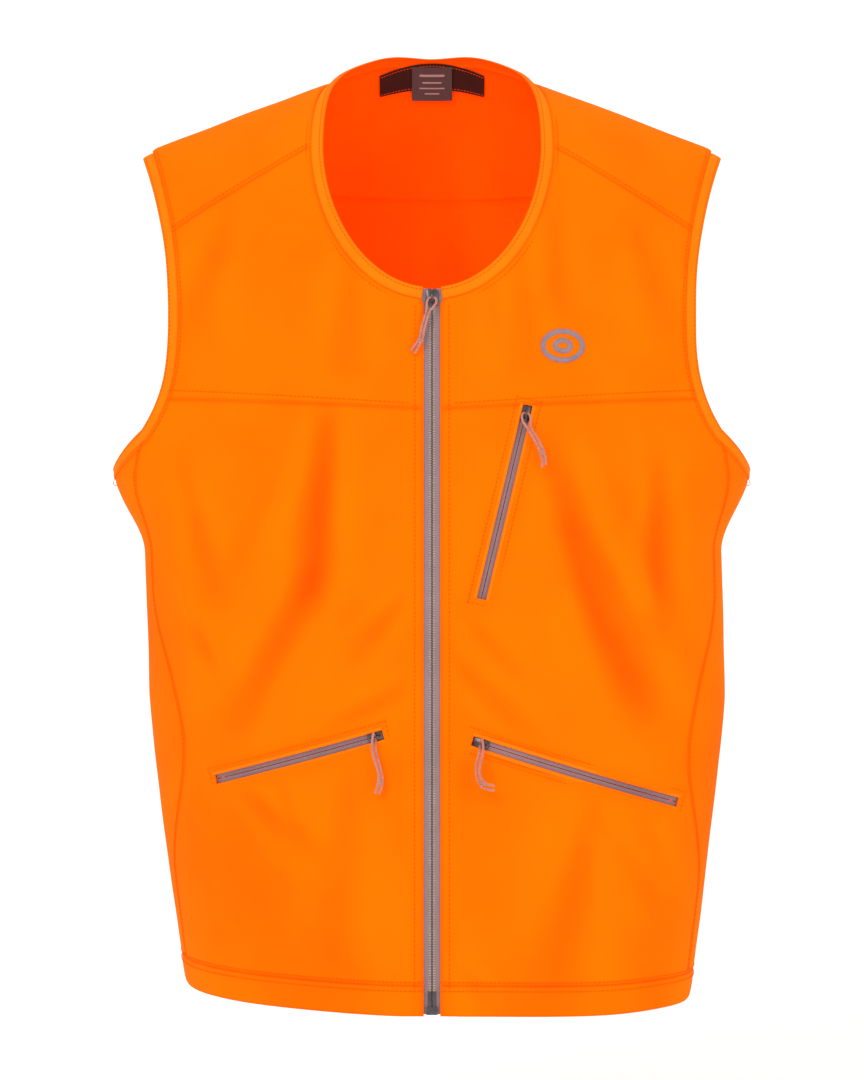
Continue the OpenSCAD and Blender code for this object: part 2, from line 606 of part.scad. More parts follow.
hand_right_cord_a = [[0, 0, -0.2], [0.6, -0.4, -1.8], [0.5, -2.4, -3.4], [0.3, -4.6, -5.4],
  [0.9, -6.2, -9.6], [2.4, -7.6, -15], [3.9, -8.6, -21], [5.4, -9.2, -27.5], [5, -9.6, -34],
  [3, -9.8, -39.5]];
hand_right_cord_b = [[0, 0, 0.2], [-0.6, -0.2, 1.9], [-1, -2, 3], [-1.2, -4.3, 2], [-1.6, -6, -1.4],
  [-1.8, -7.2, -6], [-1.3, -8.2, -11], [0.2, -9.2, -16], [3, -9.8, -27], [0.6, -10, -39]];
hand_right_knot_at = [4.2, -9.6, -31];
hand_left_cord_a = [[0, 0, -0.2], [-0.6, -0.4, -1.8], [-0.6, -3, -3.2], [-0.8, -5.6, -4.8],
  [-1.8, -7.4, -8.8], [-3, -9, -14.4], [-3.3, -10.4, -20.2], [-1.4, -11.4, -26.4], [3.6, -12, -31],
  [9.6, -12.2, -32]];
hand_left_cord_b = [[0, 0, 0.2], [0.6, -0.2, 1.9], [1, -2, 3], [1.2, -4.3, 2], [1.6, -6.4, -1.2],
  [1.4, -8.2, -6], [0.4, -9.6, -11], [-0.8, -10.8, -15.8], [-0.8, -11.8, -20.4], [1.8, -12.4, -26],
  [9.4, -12.6, -29]];
hand_left_knot_at = [1.2, -12, -28];
cord_sides = 8;
function heading(p, i) = unit(p[min(i + 1, len(p) - 1)] - p[max(i - 1, 0)]);
function cord_ring(p, i) = let(d = heading(p, i), a = unit(cross(d, [0.2, 1, 0.1])), b = cross(d, a))
  [for (k = [0:cord_sides - 1]) let(w = 360 * k / cord_sides)
    p[i] + cord_d / 2 * (a * cos(w) + b * sin(w))];
module tube(p) {
  n = len(p);
  m = cord_sides;
  points = [for (i = [0:n - 1]) each cord_ring(p, i)];
  sides = [for (i = [0:n - 2]) for (k = [0:m - 1]) let(q = (k + 1) % m)
    each [[i * m + k, i * m + q, (i + 1) * m + q], [i * m + k, (i + 1) * m + q, (i + 1) * m + k]]];
  polyhedron(points, concat(sides, [[for (k = [m - 1:-1:0]) k], [for (k = [0:m - 1]) (n - 1) * m + k]]));
}
front_eye = front_top - slider_start * front_up + eye_y(tape_y) * cross(front_up, [1, 0, 0]);
chest_eye = chest_top - pocket_slider_start * chest_up
  + eye_y(pocket_tape_y) * cross(chest_up, -chest_across);
function hand_out(ends, mm) = let(c = hand_centre(ends), o = unit(hand_points(ends)[0] - c),
    w = mm / hand_radius(ends) * 180 / PI) o * cos(w) + cross(hand_axis(ends), o) * sin(w);
function hand_eye(ends) = hand_centre(ends)
  + hand_out(ends, pocket_slider_start) * (hand_radius(ends) - eye_y(pocket_tape_y));
module cord(eye, a, b) {
  color(cord_color) translate(eye) {
    tube(a);
    tube(b);
  }
}
module knot(eye, at) {
  color(cord_color) translate(eye + at) sphere(d = knot_d);
}

back_panel();
back_yoke();
side_panel(1);  // side_panel_left
side_panel(-1);  // side_panel_right
chest_panel(1);  // chest_panel_left
chest_panel(-1);  // chest_panel_right
front_panel(1);  // front_panel_left
front_panel(-1);  // front_panel_right
neck_band();
armhole_band(1);  // armhole_band_left
armhole_band(-1);  // armhole_band_right
hem_band();
neck_tape();
size_label();
chest_badge();
wind_flap();
front_tape(1);  // front_tape_left
front_tape(-1);  // front_tape_right
front_teeth(1);  // front_teeth_left
front_teeth(-1);  // front_teeth_right
front_top_stops();
front_retainer_box();
front_insertion_pin();
chest_tapes();
chest_teeth();
chest_end_stops();
chest_pocket_bag();
hand_tapes(hand_left_ends);  // hand_left_tapes
hand_teeth(hand_left_ends);  // hand_left_teeth
hand_end_stops(hand_left_ends);  // hand_left_end_stops
hand_bag(hand_left_ends);  // hand_left_bag
hand_tapes(hand_right_ends);  // hand_right_tapes
hand_teeth(hand_right_ends);  // hand_right_teeth
hand_end_stops(hand_right_ends);  // hand_right_end_stops
hand_bag(hand_right_ends);  // hand_right_bag
front_slider();
cord(front_eye, front_cord_a, front_cord_b);  // front_cord
knot(front_eye, front_knot_at);  // front_knot
chest_slider();
cord(chest_eye, chest_cord_a, chest_cord_b);  // chest_cord
knot(chest_eye, chest_knot_at);  // chest_knot
hand_slider(hand_left_ends);  // hand_left_slider
cord(hand_eye(hand_left_ends), hand_left_cord_a, hand_left_cord_b);  // hand_left_cord
knot(hand_eye(hand_left_ends), hand_left_knot_at);  // hand_left_knot
hand_slider(hand_right_ends);  // hand_right_slider
cord(hand_eye(hand_right_ends), hand_right_cord_a, hand_right_cord_b);  // hand_right_cord
knot(hand_eye(hand_right_ends), hand_right_knot_at);  // hand_right_knot
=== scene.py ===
import logging
import math
from dataclasses import dataclass
from enum import Enum

import bmesh
import bpy
import numpy as np
from mathutils import Matrix, Vector


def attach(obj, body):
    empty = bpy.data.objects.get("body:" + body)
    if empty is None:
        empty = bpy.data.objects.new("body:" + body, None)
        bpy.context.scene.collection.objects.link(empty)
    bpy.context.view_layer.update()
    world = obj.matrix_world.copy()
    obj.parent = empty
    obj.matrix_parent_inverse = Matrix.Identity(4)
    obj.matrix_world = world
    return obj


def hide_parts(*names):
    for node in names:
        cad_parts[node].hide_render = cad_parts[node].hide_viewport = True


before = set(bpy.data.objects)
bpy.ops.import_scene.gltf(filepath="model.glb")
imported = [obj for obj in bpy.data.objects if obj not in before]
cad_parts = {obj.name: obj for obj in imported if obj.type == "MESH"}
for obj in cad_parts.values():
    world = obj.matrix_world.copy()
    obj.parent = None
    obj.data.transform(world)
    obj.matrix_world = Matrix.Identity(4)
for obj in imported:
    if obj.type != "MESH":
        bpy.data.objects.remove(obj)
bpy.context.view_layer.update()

MM = 0.001
GARMENT = "garment"
Array = np.ndarray
log = logging.getLogger("field_vest")


def smooth(t: Array) -> Array:
    """Return the soft step of t, 0 below 0 and 1 above 1."""
    c = np.clip(t, 0.0, 1.0)
    return c * c * (3.0 - 2.0 * c)


def mix(a: Array, b: Array, t: Array) -> Array:
    """Return the value a share t of the way from a to b."""
    return a + (b - a) * t


def unit(v: Array) -> Array:
    """Return vectors of length one along the last axis of v."""
    return v / np.maximum(np.linalg.norm(v, axis=-1, keepdims=True), 1e-9)


def points(x: Array, y: Array, z: Array) -> Array:
    """Return the points with these coordinates, as one array."""
    return np.stack(np.broadcast_arrays(x, y, z), axis=-1).astype(float)


def sin_d(a: Array) -> Array:
    """Return the sine of an angle in degrees."""
    return np.sin(np.radians(a))


def cos_d(a: Array) -> Array:
    """Return the cosine of an angle in degrees."""
    return np.cos(np.radians(a))


def linear(hex_value: str) -> tuple[float, float, float, float]:
    """Turn an sRGB hex value into a linear colour.

    Args:
        hex_value: The colour, such as "#ff7a00".

    Returns:
        The linear red, green, blue and alpha.
    """
    parts = [int(hex_value[i:i + 2], 16) / 255 for i in (1, 3, 5)]
    lin = [p / 12.92 if p <= 0.04045 else ((p + 0.055) / 1.055) ** 2.4 for p in parts]
    return (lin[0], lin[1], lin[2], 1.0)


# ---------------------------------------------------------------- finishes


class Pattern(Enum):
    """How a surface was made, which sets the shape of its relief."""

    WEAVE = "weave"
    RIB = "rib"
    KNIT = "knit"
    BRAID = "braid"
    CAST = "cast"


def add(tree: bpy.types.NodeTree, kind: str, values: dict | None = None,
        links: dict | None = None, **settings: object) -> bpy.types.Node:
    """Add one node to a tree, with its settings and links.

    Args:
        tree: The node tree.
        kind: The node's type name.
        values: Input values by socket name or number.
        links: Output sockets to link, by input name or number.
        settings: The node's own properties.

    Returns:
        The new node.
    """
    node = tree.nodes.new(kind)
    for name, value in settings.items():
        setattr(node, name, value)
    for name, value in (values or {}).items():
        node.inputs[name].default_value = value
    for name, socket in (links or {}).items():
        tree.links.new(socket, node.inputs[name])
    return node


def wave_scale(pitch_mm: float) -> float:
    """Return the Wave Texture scale that gives one wave every pitch_mm."""
    return math.pi / (10.0 * pitch_mm * MM)


@dataclass(frozen=True)
class Finish:
    """One material: what it is made of, how it was made, and what that gives the eye."""

    name: str
    # lit is the colour in light; deep is the colour that the random mottle and the painted shade of gaps and
    # folds mix towards
    lit: str
    deep: str
    pattern: Pattern
    pitch_mm: float
    relief_mm: float
    roughness: float
    metallic: float = 0.0
    specular: float = 0.3
    sheen: float = 0.0
    glow: float = 0.0
    glow_hex: str = "#ff4000"
    mottle_mm: float = 60.0
    # How strongly the random mottle varies the colour, and how strongly the pattern's gaps take painted
    # shade
    mottle_and_gap_shade: float = 0.3
    # Whether the colour takes the painted fold shade that the mesh carries
    fold_shade: bool = False
    on_surface: bool = False

    def build(self) -> bpy.types.Material:
        """Return the material, made once and then reused."""
        known = bpy.data.materials.get(self.name)
        if known:
            return known
        material = bpy.data.materials.new(self.name)
        material.use_nodes = True
        tree = material.node_tree
        shader = tree.nodes["Principled BSDF"]
        shader.inputs["Roughness"].default_value = self.roughness
        shader.inputs["Metallic"].default_value = self.metallic
        shader.inputs["Specular IOR Level"].default_value = self.specular
        shader.inputs["Sheen Weight"].default_value = self.sheen
        shader.inputs["Sheen Roughness"].default_value = 0.6
        shader.inputs["Sheen Tint"].default_value = linear(self.lit)
        shader.inputs["Emission Color"].default_value = linear(self.glow_hex)
        shader.inputs["Emission Strength"].default_value = self.glow
        place = add(tree, "ShaderNodeTexCoord")
        where = place.outputs["UV" if self.on_surface else "Object"]
        relief = self._relief(tree, where)
        self._colour(tree, shader, place.outputs["Object"], relief)
        bump = add(tree, "ShaderNodeBump", {"Strength": 0.7, "Distance": self.relief_mm * MM},
                   {"Height": relief})
        tree.links.new(bump.outputs["Normal"], shader.inputs["Normal"])
        return material

    def _relief(self, tree: bpy.types.NodeTree, where: bpy.types.NodeSocket) -> bpy.types.NodeSocket:
        """Add the pattern's nodes and return the height they give, from 0 to 1."""
        scale = wave_scale(self.pitch_mm)
        if self.pattern is Pattern.CAST:
            grain = add(tree, "ShaderNodeTexNoise", {"Scale": 1 / (self.pitch_mm * MM), "Detail": 3.0},
                        {"Vector": where})
            return grain.outputs["Fac"]
        if self.pattern is Pattern.KNIT:
            cells = add(tree, "ShaderNodeTexVoronoi", {"Scale": 1 / (self.pitch_mm * MM)},
                        {"Vector": where}, feature="DISTANCE_TO_EDGE")
            return cells.outputs["Distance"]
        first = add(tree, "ShaderNodeTexWave", {"Scale": scale, "Distortion": 0.3}, {"Vector": where},
                    bands_direction="DIAGONAL" if self.pattern is Pattern.BRAID else "X")
        if self.pattern is not Pattern.WEAVE:
            return first.outputs["Fac"]
        second = add(tree, "ShaderNodeTexWave", {"Scale": scale, "Distortion": 0.3}, {"Vector": where},
                     bands_direction="Y")
        both = add(tree, "ShaderNodeMath", {}, {0: first.outputs["Fac"], 1: second.outputs["Fac"]},
                   operation="MULTIPLY")
        return both.outputs[0]

    def _colour(self, tree: bpy.types.NodeTree, shader: bpy.types.Node, where: bpy.types.NodeSocket,
                relief: bpy.types.NodeSocket) -> None:
        """Link the colour: the lit colour on the crowns, painted shade towards the deep colour in the
        pattern's gaps and, where set, in the folds, and the random mottle.
        """
        blotch = add(tree, "ShaderNodeTexNoise", {"Scale": 1 / (self.mottle_mm * MM), "Detail": 4.0},
                     {"Vector": where})
        uneven = add(tree, "ShaderNodeMapRange", {"From Min": 0.35, "From Max": 0.75, "To Max": self.mottle_and_gap_shade},
                     {"Value": blotch.outputs["Fac"]})
        # Painted shade: the gaps of the pattern are mixed towards the deep colour, as strongly as the random
        # mottle
        gap = add(tree, "ShaderNodeMapRange", {"From Min": 0.0, "From Max": 1.0, "To Min": self.mottle_and_gap_shade,
                                               "To Max": 0.0}, {"Value": relief})
        share = add(tree, "ShaderNodeMath", {}, {0: uneven.outputs[0], 1: gap.outputs[0]},
                    operation="ADD").outputs[0]
        # Painted fold shade: the mesh's attribute mixes the colour towards the deep colour in the folds'
        # hollows
        if self.fold_shade:
            fold = add(tree, "ShaderNodeAttribute", attribute_name="fold_shade")
            share = add(tree, "ShaderNodeMath", {}, {0: share, 1: fold.outputs["Fac"]},
                        operation="ADD", use_clamp=True).outputs[0]
        blend = add(tree, "ShaderNodeMix", {6: linear(self.lit), 7: linear(self.deep)}, {0: share},
                    data_type="RGBA")
        tree.links.new(blend.outputs[2], shader.inputs["Base Color"])


# Fluorescent polyester softshell, woven: it gives back more orange than falls on it, hence the glow, which
# is also painted light, as bright in shade as in light, and keeps the shaded folds orange.
# Its threads are finer than can be seen, so they are drawn at 1.1 mm.
SOFTSHELL = Finish("polyester_softshell_fluorescent", "#ff7a00", "#ee4000", Pattern.WEAVE, 1.1, 0.05,
                   0.9, specular=0.03, glow=0.22, mottle_and_gap_shade=0.14, fold_shade=True, on_surface=True)
# The same cloth seen from inside, its brushed face drawn a deeper red orange as painted shade, since the
# inside lies in shade, with a stronger glow of painted light
SHADED_INSIDE = Finish("polyester_fleece_brushed_painted_shade", "#ff6c00", "#e84400", Pattern.WEAVE, 1.4, 0.12, 0.95,
                specular=0.02, glow=0.3, mottle_and_gap_shade=0.3, fold_shade=True, on_surface=True)
# Ribbed edge binding of the same yarn, folded double: a little lighter and smoother
# Its glow, like the shell's, is partly painted light, as bright in shade as in light
BINDING = Finish("polyester_binding_knitted", "#ff840a", "#f45800", Pattern.RIB, 0.9, 0.06, 0.85,
                 specular=0.05, glow=0.22, mottle_and_gap_shade=0.14, fold_shade=True, on_surface=True)
# The wind flap's cloth: the same softshell, deep brown orange because the zip shades it
FLAP = Finish("polyester_softshell_shaded", "#a83400", "#5c1c04", Pattern.WEAVE, 1.1, 0.05, 0.95,
              specular=0.02, mottle_and_gap_shade=0.3, on_surface=True)
# Polyester sewing thread, twisted, with a slight shine
# Its glow, like the shell's, is partly painted light, as bright in shade as in light
THREAD = Finish("polyester_thread_twisted", "#f76200", "#d84400", Pattern.BRAID, 0.4, 0.05, 0.7,
                specular=0.03, glow=0.16, mottle_and_gap_shade=0.2)
# Herringbone polyester zip tape in grey mauve, matt
TAPE = Finish("polyester_zip_tape_woven", "#a58d90", "#7a6468", Pattern.RIB, 1.0, 0.12, 0.85,
              specular=0.15, mottle_and_gap_shade=0.35, on_surface=True)
# Nylon monofilament coil: translucent plastic, so it shines where it turns
COIL = Finish("nylon_monofilament_coil", "#c2b4a6", "#6e5c54", Pattern.CAST, 1.2, 0.03, 0.35,
              mottle_and_gap_shade=0.25, mottle_mm=8.0)
# Die-cast zinc with a black nickel plate, tumbled smooth
GUNMETAL = Finish("zinc_die_cast_black_nickel", "#6f6a6c", "#3c383a", Pattern.CAST, 0.6, 0.02, 0.3,
                  metallic=1.0, mottle_and_gap_shade=0.35, mottle_mm=3.0)
# Braided polyester cord, washed pink grey
CORD = Finish("polyester_cord_braided", "#d49484", "#a2685c", Pattern.BRAID, 0.8, 0.12, 0.75,
              sheen=0.2, mottle_and_gap_shade=0.35, mottle_mm=5.0)
# Warp-knitted pocketing, with small open cells
POCKETING = Finish("polyester_pocketing_warp_knitted", "#ddd6cc", "#a79f94", Pattern.KNIT, 1.6, 0.2,
                   0.85, sheen=0.2, mottle_and_gap_shade=0.3, on_surface=True)
# Cotton herringbone tape, near black
NECK_TAPE = Finish("cotton_tape_herringbone", "#452019", "#240a06", Pattern.WEAVE, 1.2, 0.12, 0.85,
                   sheen=0.2, mottle_and_gap_shade=0.4, on_surface=True)
# Damask label cloth in charcoal
LABEL = Finish("polyester_damask_label", "#56504f", "#3a3436", Pattern.WEAVE, 0.7, 0.04, 0.6,
               sheen=0.1, mottle_and_gap_shade=0.25, on_surface=True)
# Woven-in marks on the label, in pale yarn
LABEL_YARN = Finish("polyester_label_yarn", "#b4aaa6", "#8d8380", Pattern.RIB, 0.6, 0.05, 0.55,
                    mottle_and_gap_shade=0.25, on_surface=True)
# Rayon embroidery thread in mauve grey, which shines along each stitch
RAYON = Finish("rayon_embroidery_thread", "#a9949a", "#7c666c", Pattern.BRAID, 0.4, 0.05, 0.32,
               sheen=0.1, mottle_and_gap_shade=0.25, mottle_mm=6.0)
# Matt white studio board, with a little light of its own so that it stays white
BOARD = Finish("studio_board_matt", "#fbfaf9", "#f6f4f2", Pattern.CAST, 4.0, 0.02, 0.95,
               specular=0.02, glow=0.16, glow_hex="#ffffff", mottle_and_gap_shade=0.1, mottle_mm=400.0)


# ---------------------------------------------------------------- the body's shape


@dataclass(frozen=True)
class BodyForm:
    """The worn shape that every panel lies on, in millimetres."""

    body_len: float = 678.0
    chest_half_w: float = 217.0
    underarm_half_w: float = 240.0
    hem_half_w: float = 188.0
    neck_depth: float = 118.0
    hem_depth: float = 150.0
    back_depth: float = 124.0
    back_hem_depth: float = 142.0
    hem_twist: float = 0.2
    neck_half_w: float = 80.0
    neck_drop: float = 162.0
    chest_gap_half_w: float = 193.0
    shoulder_half_w: float = 220.0
    underarm_drop: float = 289.0
    hem_band_h: float = 21.0
    waist_z: float = -458.0
    flare_z: float = -352.0
    shoulder_z: float = -51.0
    arm_waist_z: float = -179.0
    squareness: float = 2.4
    round_drop: float = 200.0
    neck_x: float = 85.0
    neck_soft: float = 30.0
    nape_rise: float = 47.0
    twist_top_z: float = -330.0
    twist_full_z: float = -500.0
    twist_soft: float = 50.0
    seam_share: float = 0.955
    seam_dip: float = 0.1
    seam_dip_z: float = -488.0
    seam_dip_h: float = 110.0
    neck_side_z: float = -50.0
    nape_angle: float = 34.0
    back_gap_extra: float = 8.0

    @property
    def hem_z(self) -> float:
        """Level of the hem."""
        return -self.body_len

    @property
    def hem_seam_z(self) -> float:
        """Level of the seam above the hem band."""
        return self.hem_z + self.hem_band_h

    @property
    def seam_top_z(self) -> float:
        """Level of the top of the side panel's seams."""
        return -self.underarm_drop + 27.0

    def half_w(self, z: Array) -> Array:
        """Return the half width of the body at a level."""
        z = np.asarray(z, float)
        low = self.chest_half_w - (self.chest_half_w - self.hem_half_w) * np.power(
            np.clip((self.waist_z - z) / (self.waist_z - self.hem_z), 0, None), 1.3)
        high = self.chest_half_w + (self.underarm_half_w - self.chest_half_w) * smooth(
            (z - self.flare_z) / (-self.underarm_drop - self.flare_z))
        return np.where(z < self.waist_z, low, high)

    def front_d(self, z: Array) -> Array:
        """Return how far the front stands forward at a level."""
        return self.neck_depth + (self.hem_depth - self.neck_depth) * np.maximum(
            0, -self.neck_drop - np.asarray(z, float)) / (self.body_len - self.neck_drop)

    def back_d(self, z: Array) -> Array:
        """Return how far the back stands back at a level."""
        return mix(self.back_depth, self.back_hem_depth, np.maximum(
            0, -self.underarm_drop - np.asarray(z, float)) / (-self.underarm_drop - self.hem_z))

    def section(self, x: Array, z: Array) -> Array:
        """Return the plan section's share of its depth at x."""
        near = np.power(np.abs(x) / self.half_w(z), self.squareness)
        return np.power(np.maximum(0, 1 - near), 1 / self.squareness)

    def twist(self, x: Array, z: Array) -> Array:
        """Return how far forward the lower body's twist carries a point."""
        return self.hem_twist * smooth((self.twist_top_z - z) / (self.twist_top_z - self.twist_full_z)) \
            * x ** 3 / (x * x + self.twist_soft ** 2)

    def ridge_z(self, x: Array) -> Array:
        """Return the height of the shoulder line at x."""
        slope = -self.shoulder_z / (self.shoulder_half_w - self.neck_x)
        bump = np.power(np.minimum(1, np.abs(x) / self.neck_half_w), 1.5)
        return slope * (math.hypot(self.neck_x, self.neck_soft) - np.hypot(x, self.neck_soft)) \
            + self.nape_rise * cos_d(90 * bump) ** 2

    def rounding(self, x: Array, z: Array) -> Array:
        """Return the share of the depth left by the rounding of the shoulders."""
        t = np.clip((self.ridge_z(x) - z) / self.round_drop, 0, 1)
        return np.sqrt(1 - (1 - t) ** 2)

    def on_front(self, x: Array, z: Array) -> Array:
        """Return points on the front."""
        return points(x, -self.front_d(z) * self.section(x, z) * self.rounding(x, z)
                      - self.twist(x, z), z)

    def on_back(self, x: Array, z: Array) -> Array:
        """Return points on the back."""
        return points(x, self.back_d(z) * self.section(x, z) * self.rounding(x, z)
                      - self.twist(x, z), z)

    def over_shoulder(self, x: Array, a: Array) -> Array:
        """Return points on the arch over the shoulder, at an angle from the top."""
        depth = np.where(np.asarray(a) < 0, self.neck_depth, self.back_depth)
        return points(x, depth * self.section(x, np.zeros_like(x)) * sin_d(a),
                      self.ridge_z(x) - self.round_drop * (1 - cos_d(a)))

    def arch_angle(self, x: Array, z: Array) -> Array:
        """Return the arch angle of a level at x."""
        return np.degrees(np.arccos(np.clip(1 - (self.ridge_z(x) - z) / self.round_drop, 0, 1)))

    def arch_place(self, p: Array) -> Array:
        """Return the x and the arch angle of points near the shoulder."""
        depth = np.where(p[..., 1] < 0, self.neck_depth, self.back_depth)
        x = p[..., 0]
        y = p[..., 1] / (depth * self.section(x, np.zeros_like(x)))
        a = np.degrees(np.arctan2(y, 1 - (self.ridge_z(x) - p[..., 2]) / self.round_drop))
        return np.stack([x, a], axis=-1)

    def arm_x(self, z: Array) -> Array:
        """Return the half width across the armholes at a level."""
        up = mix(self.chest_gap_half_w, self.shoulder_half_w, np.clip(
            (z - self.arm_waist_z) / (self.shoulder_z - self.arm_waist_z), 0, None) ** 2)
        down = mix(self.chest_gap_half_w, self.underarm_half_w, np.clip(
            (self.arm_waist_z - z) / (self.arm_waist_z + self.underarm_drop), 0, None) ** 3)
        return np.where(z > self.arm_waist_z, up, down)

    def seam_ratio(self, z: Array) -> Array:
        """Return the share of the half width at which the side seams stand."""
        z = np.asarray(z, float)
        dip = cos_d(90 * np.minimum(1, np.abs(z - self.seam_dip_z) / self.seam_dip_h)) ** 2
        top = self.seam_share - self.arm_x(self.seam_top_z) / self.half_w(self.seam_top_z)
        return self.seam_share - self.seam_dip * dip \
            - top * smooth((z - self.flare_z) / (self.seam_top_z - self.flare_z))

    def round_side(self, s: Array, z: Array, side: float = 1.0) -> Array:
        """Return points round the side, s from 0 at the front seam to 1 at the back seam."""
        start = np.degrees(np.arcsin(np.power(self.seam_ratio(z), self.squareness / 2)))
        a = mix(start, 180 - start, s)
        x = side * self.half_w(z) * np.power(np.abs(sin_d(a)), 2 / self.squareness)
        y = np.power(np.abs(cos_d(a)), 2 / self.squareness) * np.where(
            a < 90, -self.front_d(z), self.back_d(z))
        return points(x, y - self.twist(x, z), z)

    def seam_step(self, s: float, z: Array, gap: float) -> Array:
        """Return how far round the side half a seam's gap reaches, from the seam at s."""
        move = self.round_side(s + 0.01, z) - self.round_side(s, z)
        return gap / 200 / np.linalg.norm(move, axis=-1)

    def _level(self, p: Array) -> Array:
        """Return a value that grows outward through the cloth."""
        x, z = p[..., 0], p[..., 2]
        y = p[..., 1] + self.twist(x, z)
        d = np.where(y < 0, self.front_d(z), self.back_d(z))
        upper = (y / (d * np.maximum(self.section(x, z), 1e-4))) ** 2 + np.maximum(
            0, 1 - (self.ridge_z(x) - z) / self.round_drop) ** 2
        lower = np.power(np.abs(x) / self.half_w(z), self.squareness) + np.power(
            np.abs(y) / (d * np.maximum(self.rounding(x, z), 1e-4)), self.squareness)
        return np.where(z > -self.neck_drop, upper, lower)

    def outward(self, p: Array) -> Array:
        """Return the way out of the cloth at points on it."""
        step = 0.4 * np.eye(3)
        here = self._level(p)
        return unit(np.stack([self._level(p + step[k]) - here for k in range(3)], axis=-1))

    def set_in(self, p: Array, along: Array, w: Array) -> Array:
        """Return points moved in from an edge, across the cloth."""
        w = np.asarray(w, float)
        return p + w[..., None] * unit(np.cross(along, self.outward(p)))

    def neck_edge(self, a: Array) -> Array:
        """Return the neck edge: a is 0 in front, 90 at the wearer's left and 180 at the nape."""
        a = np.asarray(a, float)
        side = np.where((a > 180) | (a < 0), -1.0, 1.0)
        a = np.where(a > 180, 360 - a, np.abs(a))
        x = self.neck_half_w * sin_d(a)
        front = self.on_front(x, self.neck_side_z - (self.neck_drop + self.neck_side_z) * cos_d(a))
        turn = self.arch_angle(self.neck_half_w, self.neck_side_z)
        back = self.over_shoulder(x, mix(-turn, self.nape_angle, -cos_d(a)))
        p = np.where((a < 90)[..., None], front, back)
        p[..., 0] *= side
        return p

    def neck_in(self, a: Array, w: Array) -> Array:
        """Return the line a width w in from the neck edge."""
        return self.set_in(self.neck_edge(a), self.neck_edge(a + 1) - self.neck_edge(a - 1), w)

    def arm_edge(self, s: Array) -> Array:
        """Return the armhole edge: s runs 0 to 1 down the front, to 3 under, to 4 up the back."""
        s = np.mod(np.asarray(s, float), 4.0)
        z_f = mix(self.shoulder_z, self.seam_top_z, s)
        x_f = self.arm_x(z_f)
        front = self.on_front(x_f, np.minimum(z_f, self.ridge_z(x_f)))
        z_b = mix(self.shoulder_z, self.seam_top_z, 4 - s)
        x_b = self.arm_x(z_b) + self.back_gap_extra * sin_d(180 * (s - 3)) ** 2
        back = self.on_back(x_b, np.minimum(z_b, self.ridge_z(x_b)))
        z_u = mix(self.seam_top_z, -self.underarm_drop, np.clip(cos_d(90 * (s - 2)), 0, 1))
        under = self.round_side((s - 1) / 2, z_u)
        return np.where((s < 1)[..., None], front, np.where((s > 3)[..., None], back, under))

    def arm_in(self, s: Array, w: Array) -> Array:
        """Return the line a width w in from the armhole edge."""
        s = np.asarray(s, float)
        return self.set_in(self.arm_edge(s), self.arm_edge(s + 0.02) - self.arm_edge(s - 0.02), w)

    def arm_share(self, z: float) -> float:
        """Return the share of the armhole's front at a level."""
        return (self.shoulder_z - z) / (self.shoulder_z - self.seam_top_z)


@dataclass(frozen=True)
class Fold:
    """One soft fold: a line on the front or the back, and how far it sinks or stands."""

    start: tuple[float, float]
    end: tuple[float, float]
    width: float
    height: float
    front: bool = True
    bow: float = 0.0

    def lift(self, x: Array, z: Array) -> Array:
        """Return how far the fold lifts the cloth at x and z."""
        a, b = np.array(self.start), np.array(self.end)
        run = b - a
        span = float(np.hypot(*run))
        way = run / span
        dx, dz = x - a[0], z - a[1]
        along = (dx * way[0] + dz * way[1]) / span
        off = (-dx * way[1] + dz * way[0]) - self.bow * np.sin(np.pi * np.clip(along, 0, 1))
        width = self.width * (0.8 + 0.5 * np.clip(along, 0, 1))
        fade = np.exp(-np.clip(-along, 0, None) ** 2 * 30) * np.exp(-np.clip(along - 1, 0, None) ** 2 * 30)
        fade = fade * (0.35 + 0.65 * np.sin(np.pi * np.clip(0.08 + 0.84 * along, 0, 1)))
        valley = np.exp(-(off / width) ** 2)
        ridges = np.exp(-((np.abs(off) - 1.9 * width) / width) ** 2)
        return self.height * fade * (valley - 0.5 * ridges)


@dataclass(frozen=True)
class Drape:
    """All the folds of the shell, and where the cloth has to lie flat."""

    folds: tuple[Fold, ...]
    zips: tuple["ZipLine", ...]
    front_flat: float = 9.0
    pocket_flat: float = 6.0
    flat_fade: float = 16.0
    side_fade: float = 12.0
    slackness: float = 0.62

    def lift(self, p: Array) -> Array:
        """Return how far each point of the shell moves out of its smooth shape, in millimetres."""
        x, y, z = p[..., 0], p[..., 1], p[..., 2]
        front_share = smooth((self.side_fade - y) / (2 * self.side_fade))
        total = np.zeros_like(x)
        for fold in self.folds:
            share = front_share if fold.front else 1 - front_share
            total = total + self.slackness * fold.lift(x, z) * share
        total = total + self._slack(x, y, z)
        flat = smooth((np.abs(x) - self.front_flat) / self.flat_fade)
        total = total * mix(1.0, flat, front_share)
        for line in self.zips:
            flat = smooth((line.distance(p) - self.pocket_flat) / self.flat_fade)
            total = total * mix(1.0, flat, front_share)
        return total

    def _slack(self, x: Array, y: Array, z: Array) -> Array:
        """Return the slow unevenness of cloth that hangs with a little slack."""
        low = smooth((-200.0 - z) / 200.0)
        wave = np.sin(x / 31.0 + z / 57.0 + 0.6) + 0.7 * np.sin(x / 47.0 - z / 39.0 + y / 60.0)
        fine = 0.3 * np.sin(x / 11.0 + 2.2 * np.sin(z / 34.0)) * np.sin(z / 23.0 + y / 31.0)
        hem = 1.1 * np.sin(x / 19.0 + y / 26.0 + 1.1) * smooth((-590.0 - z) / 80.0)
        return 0.75 * wave * low + fine * 0.8 + hem


# ---------------------------------------------------------------- meshes


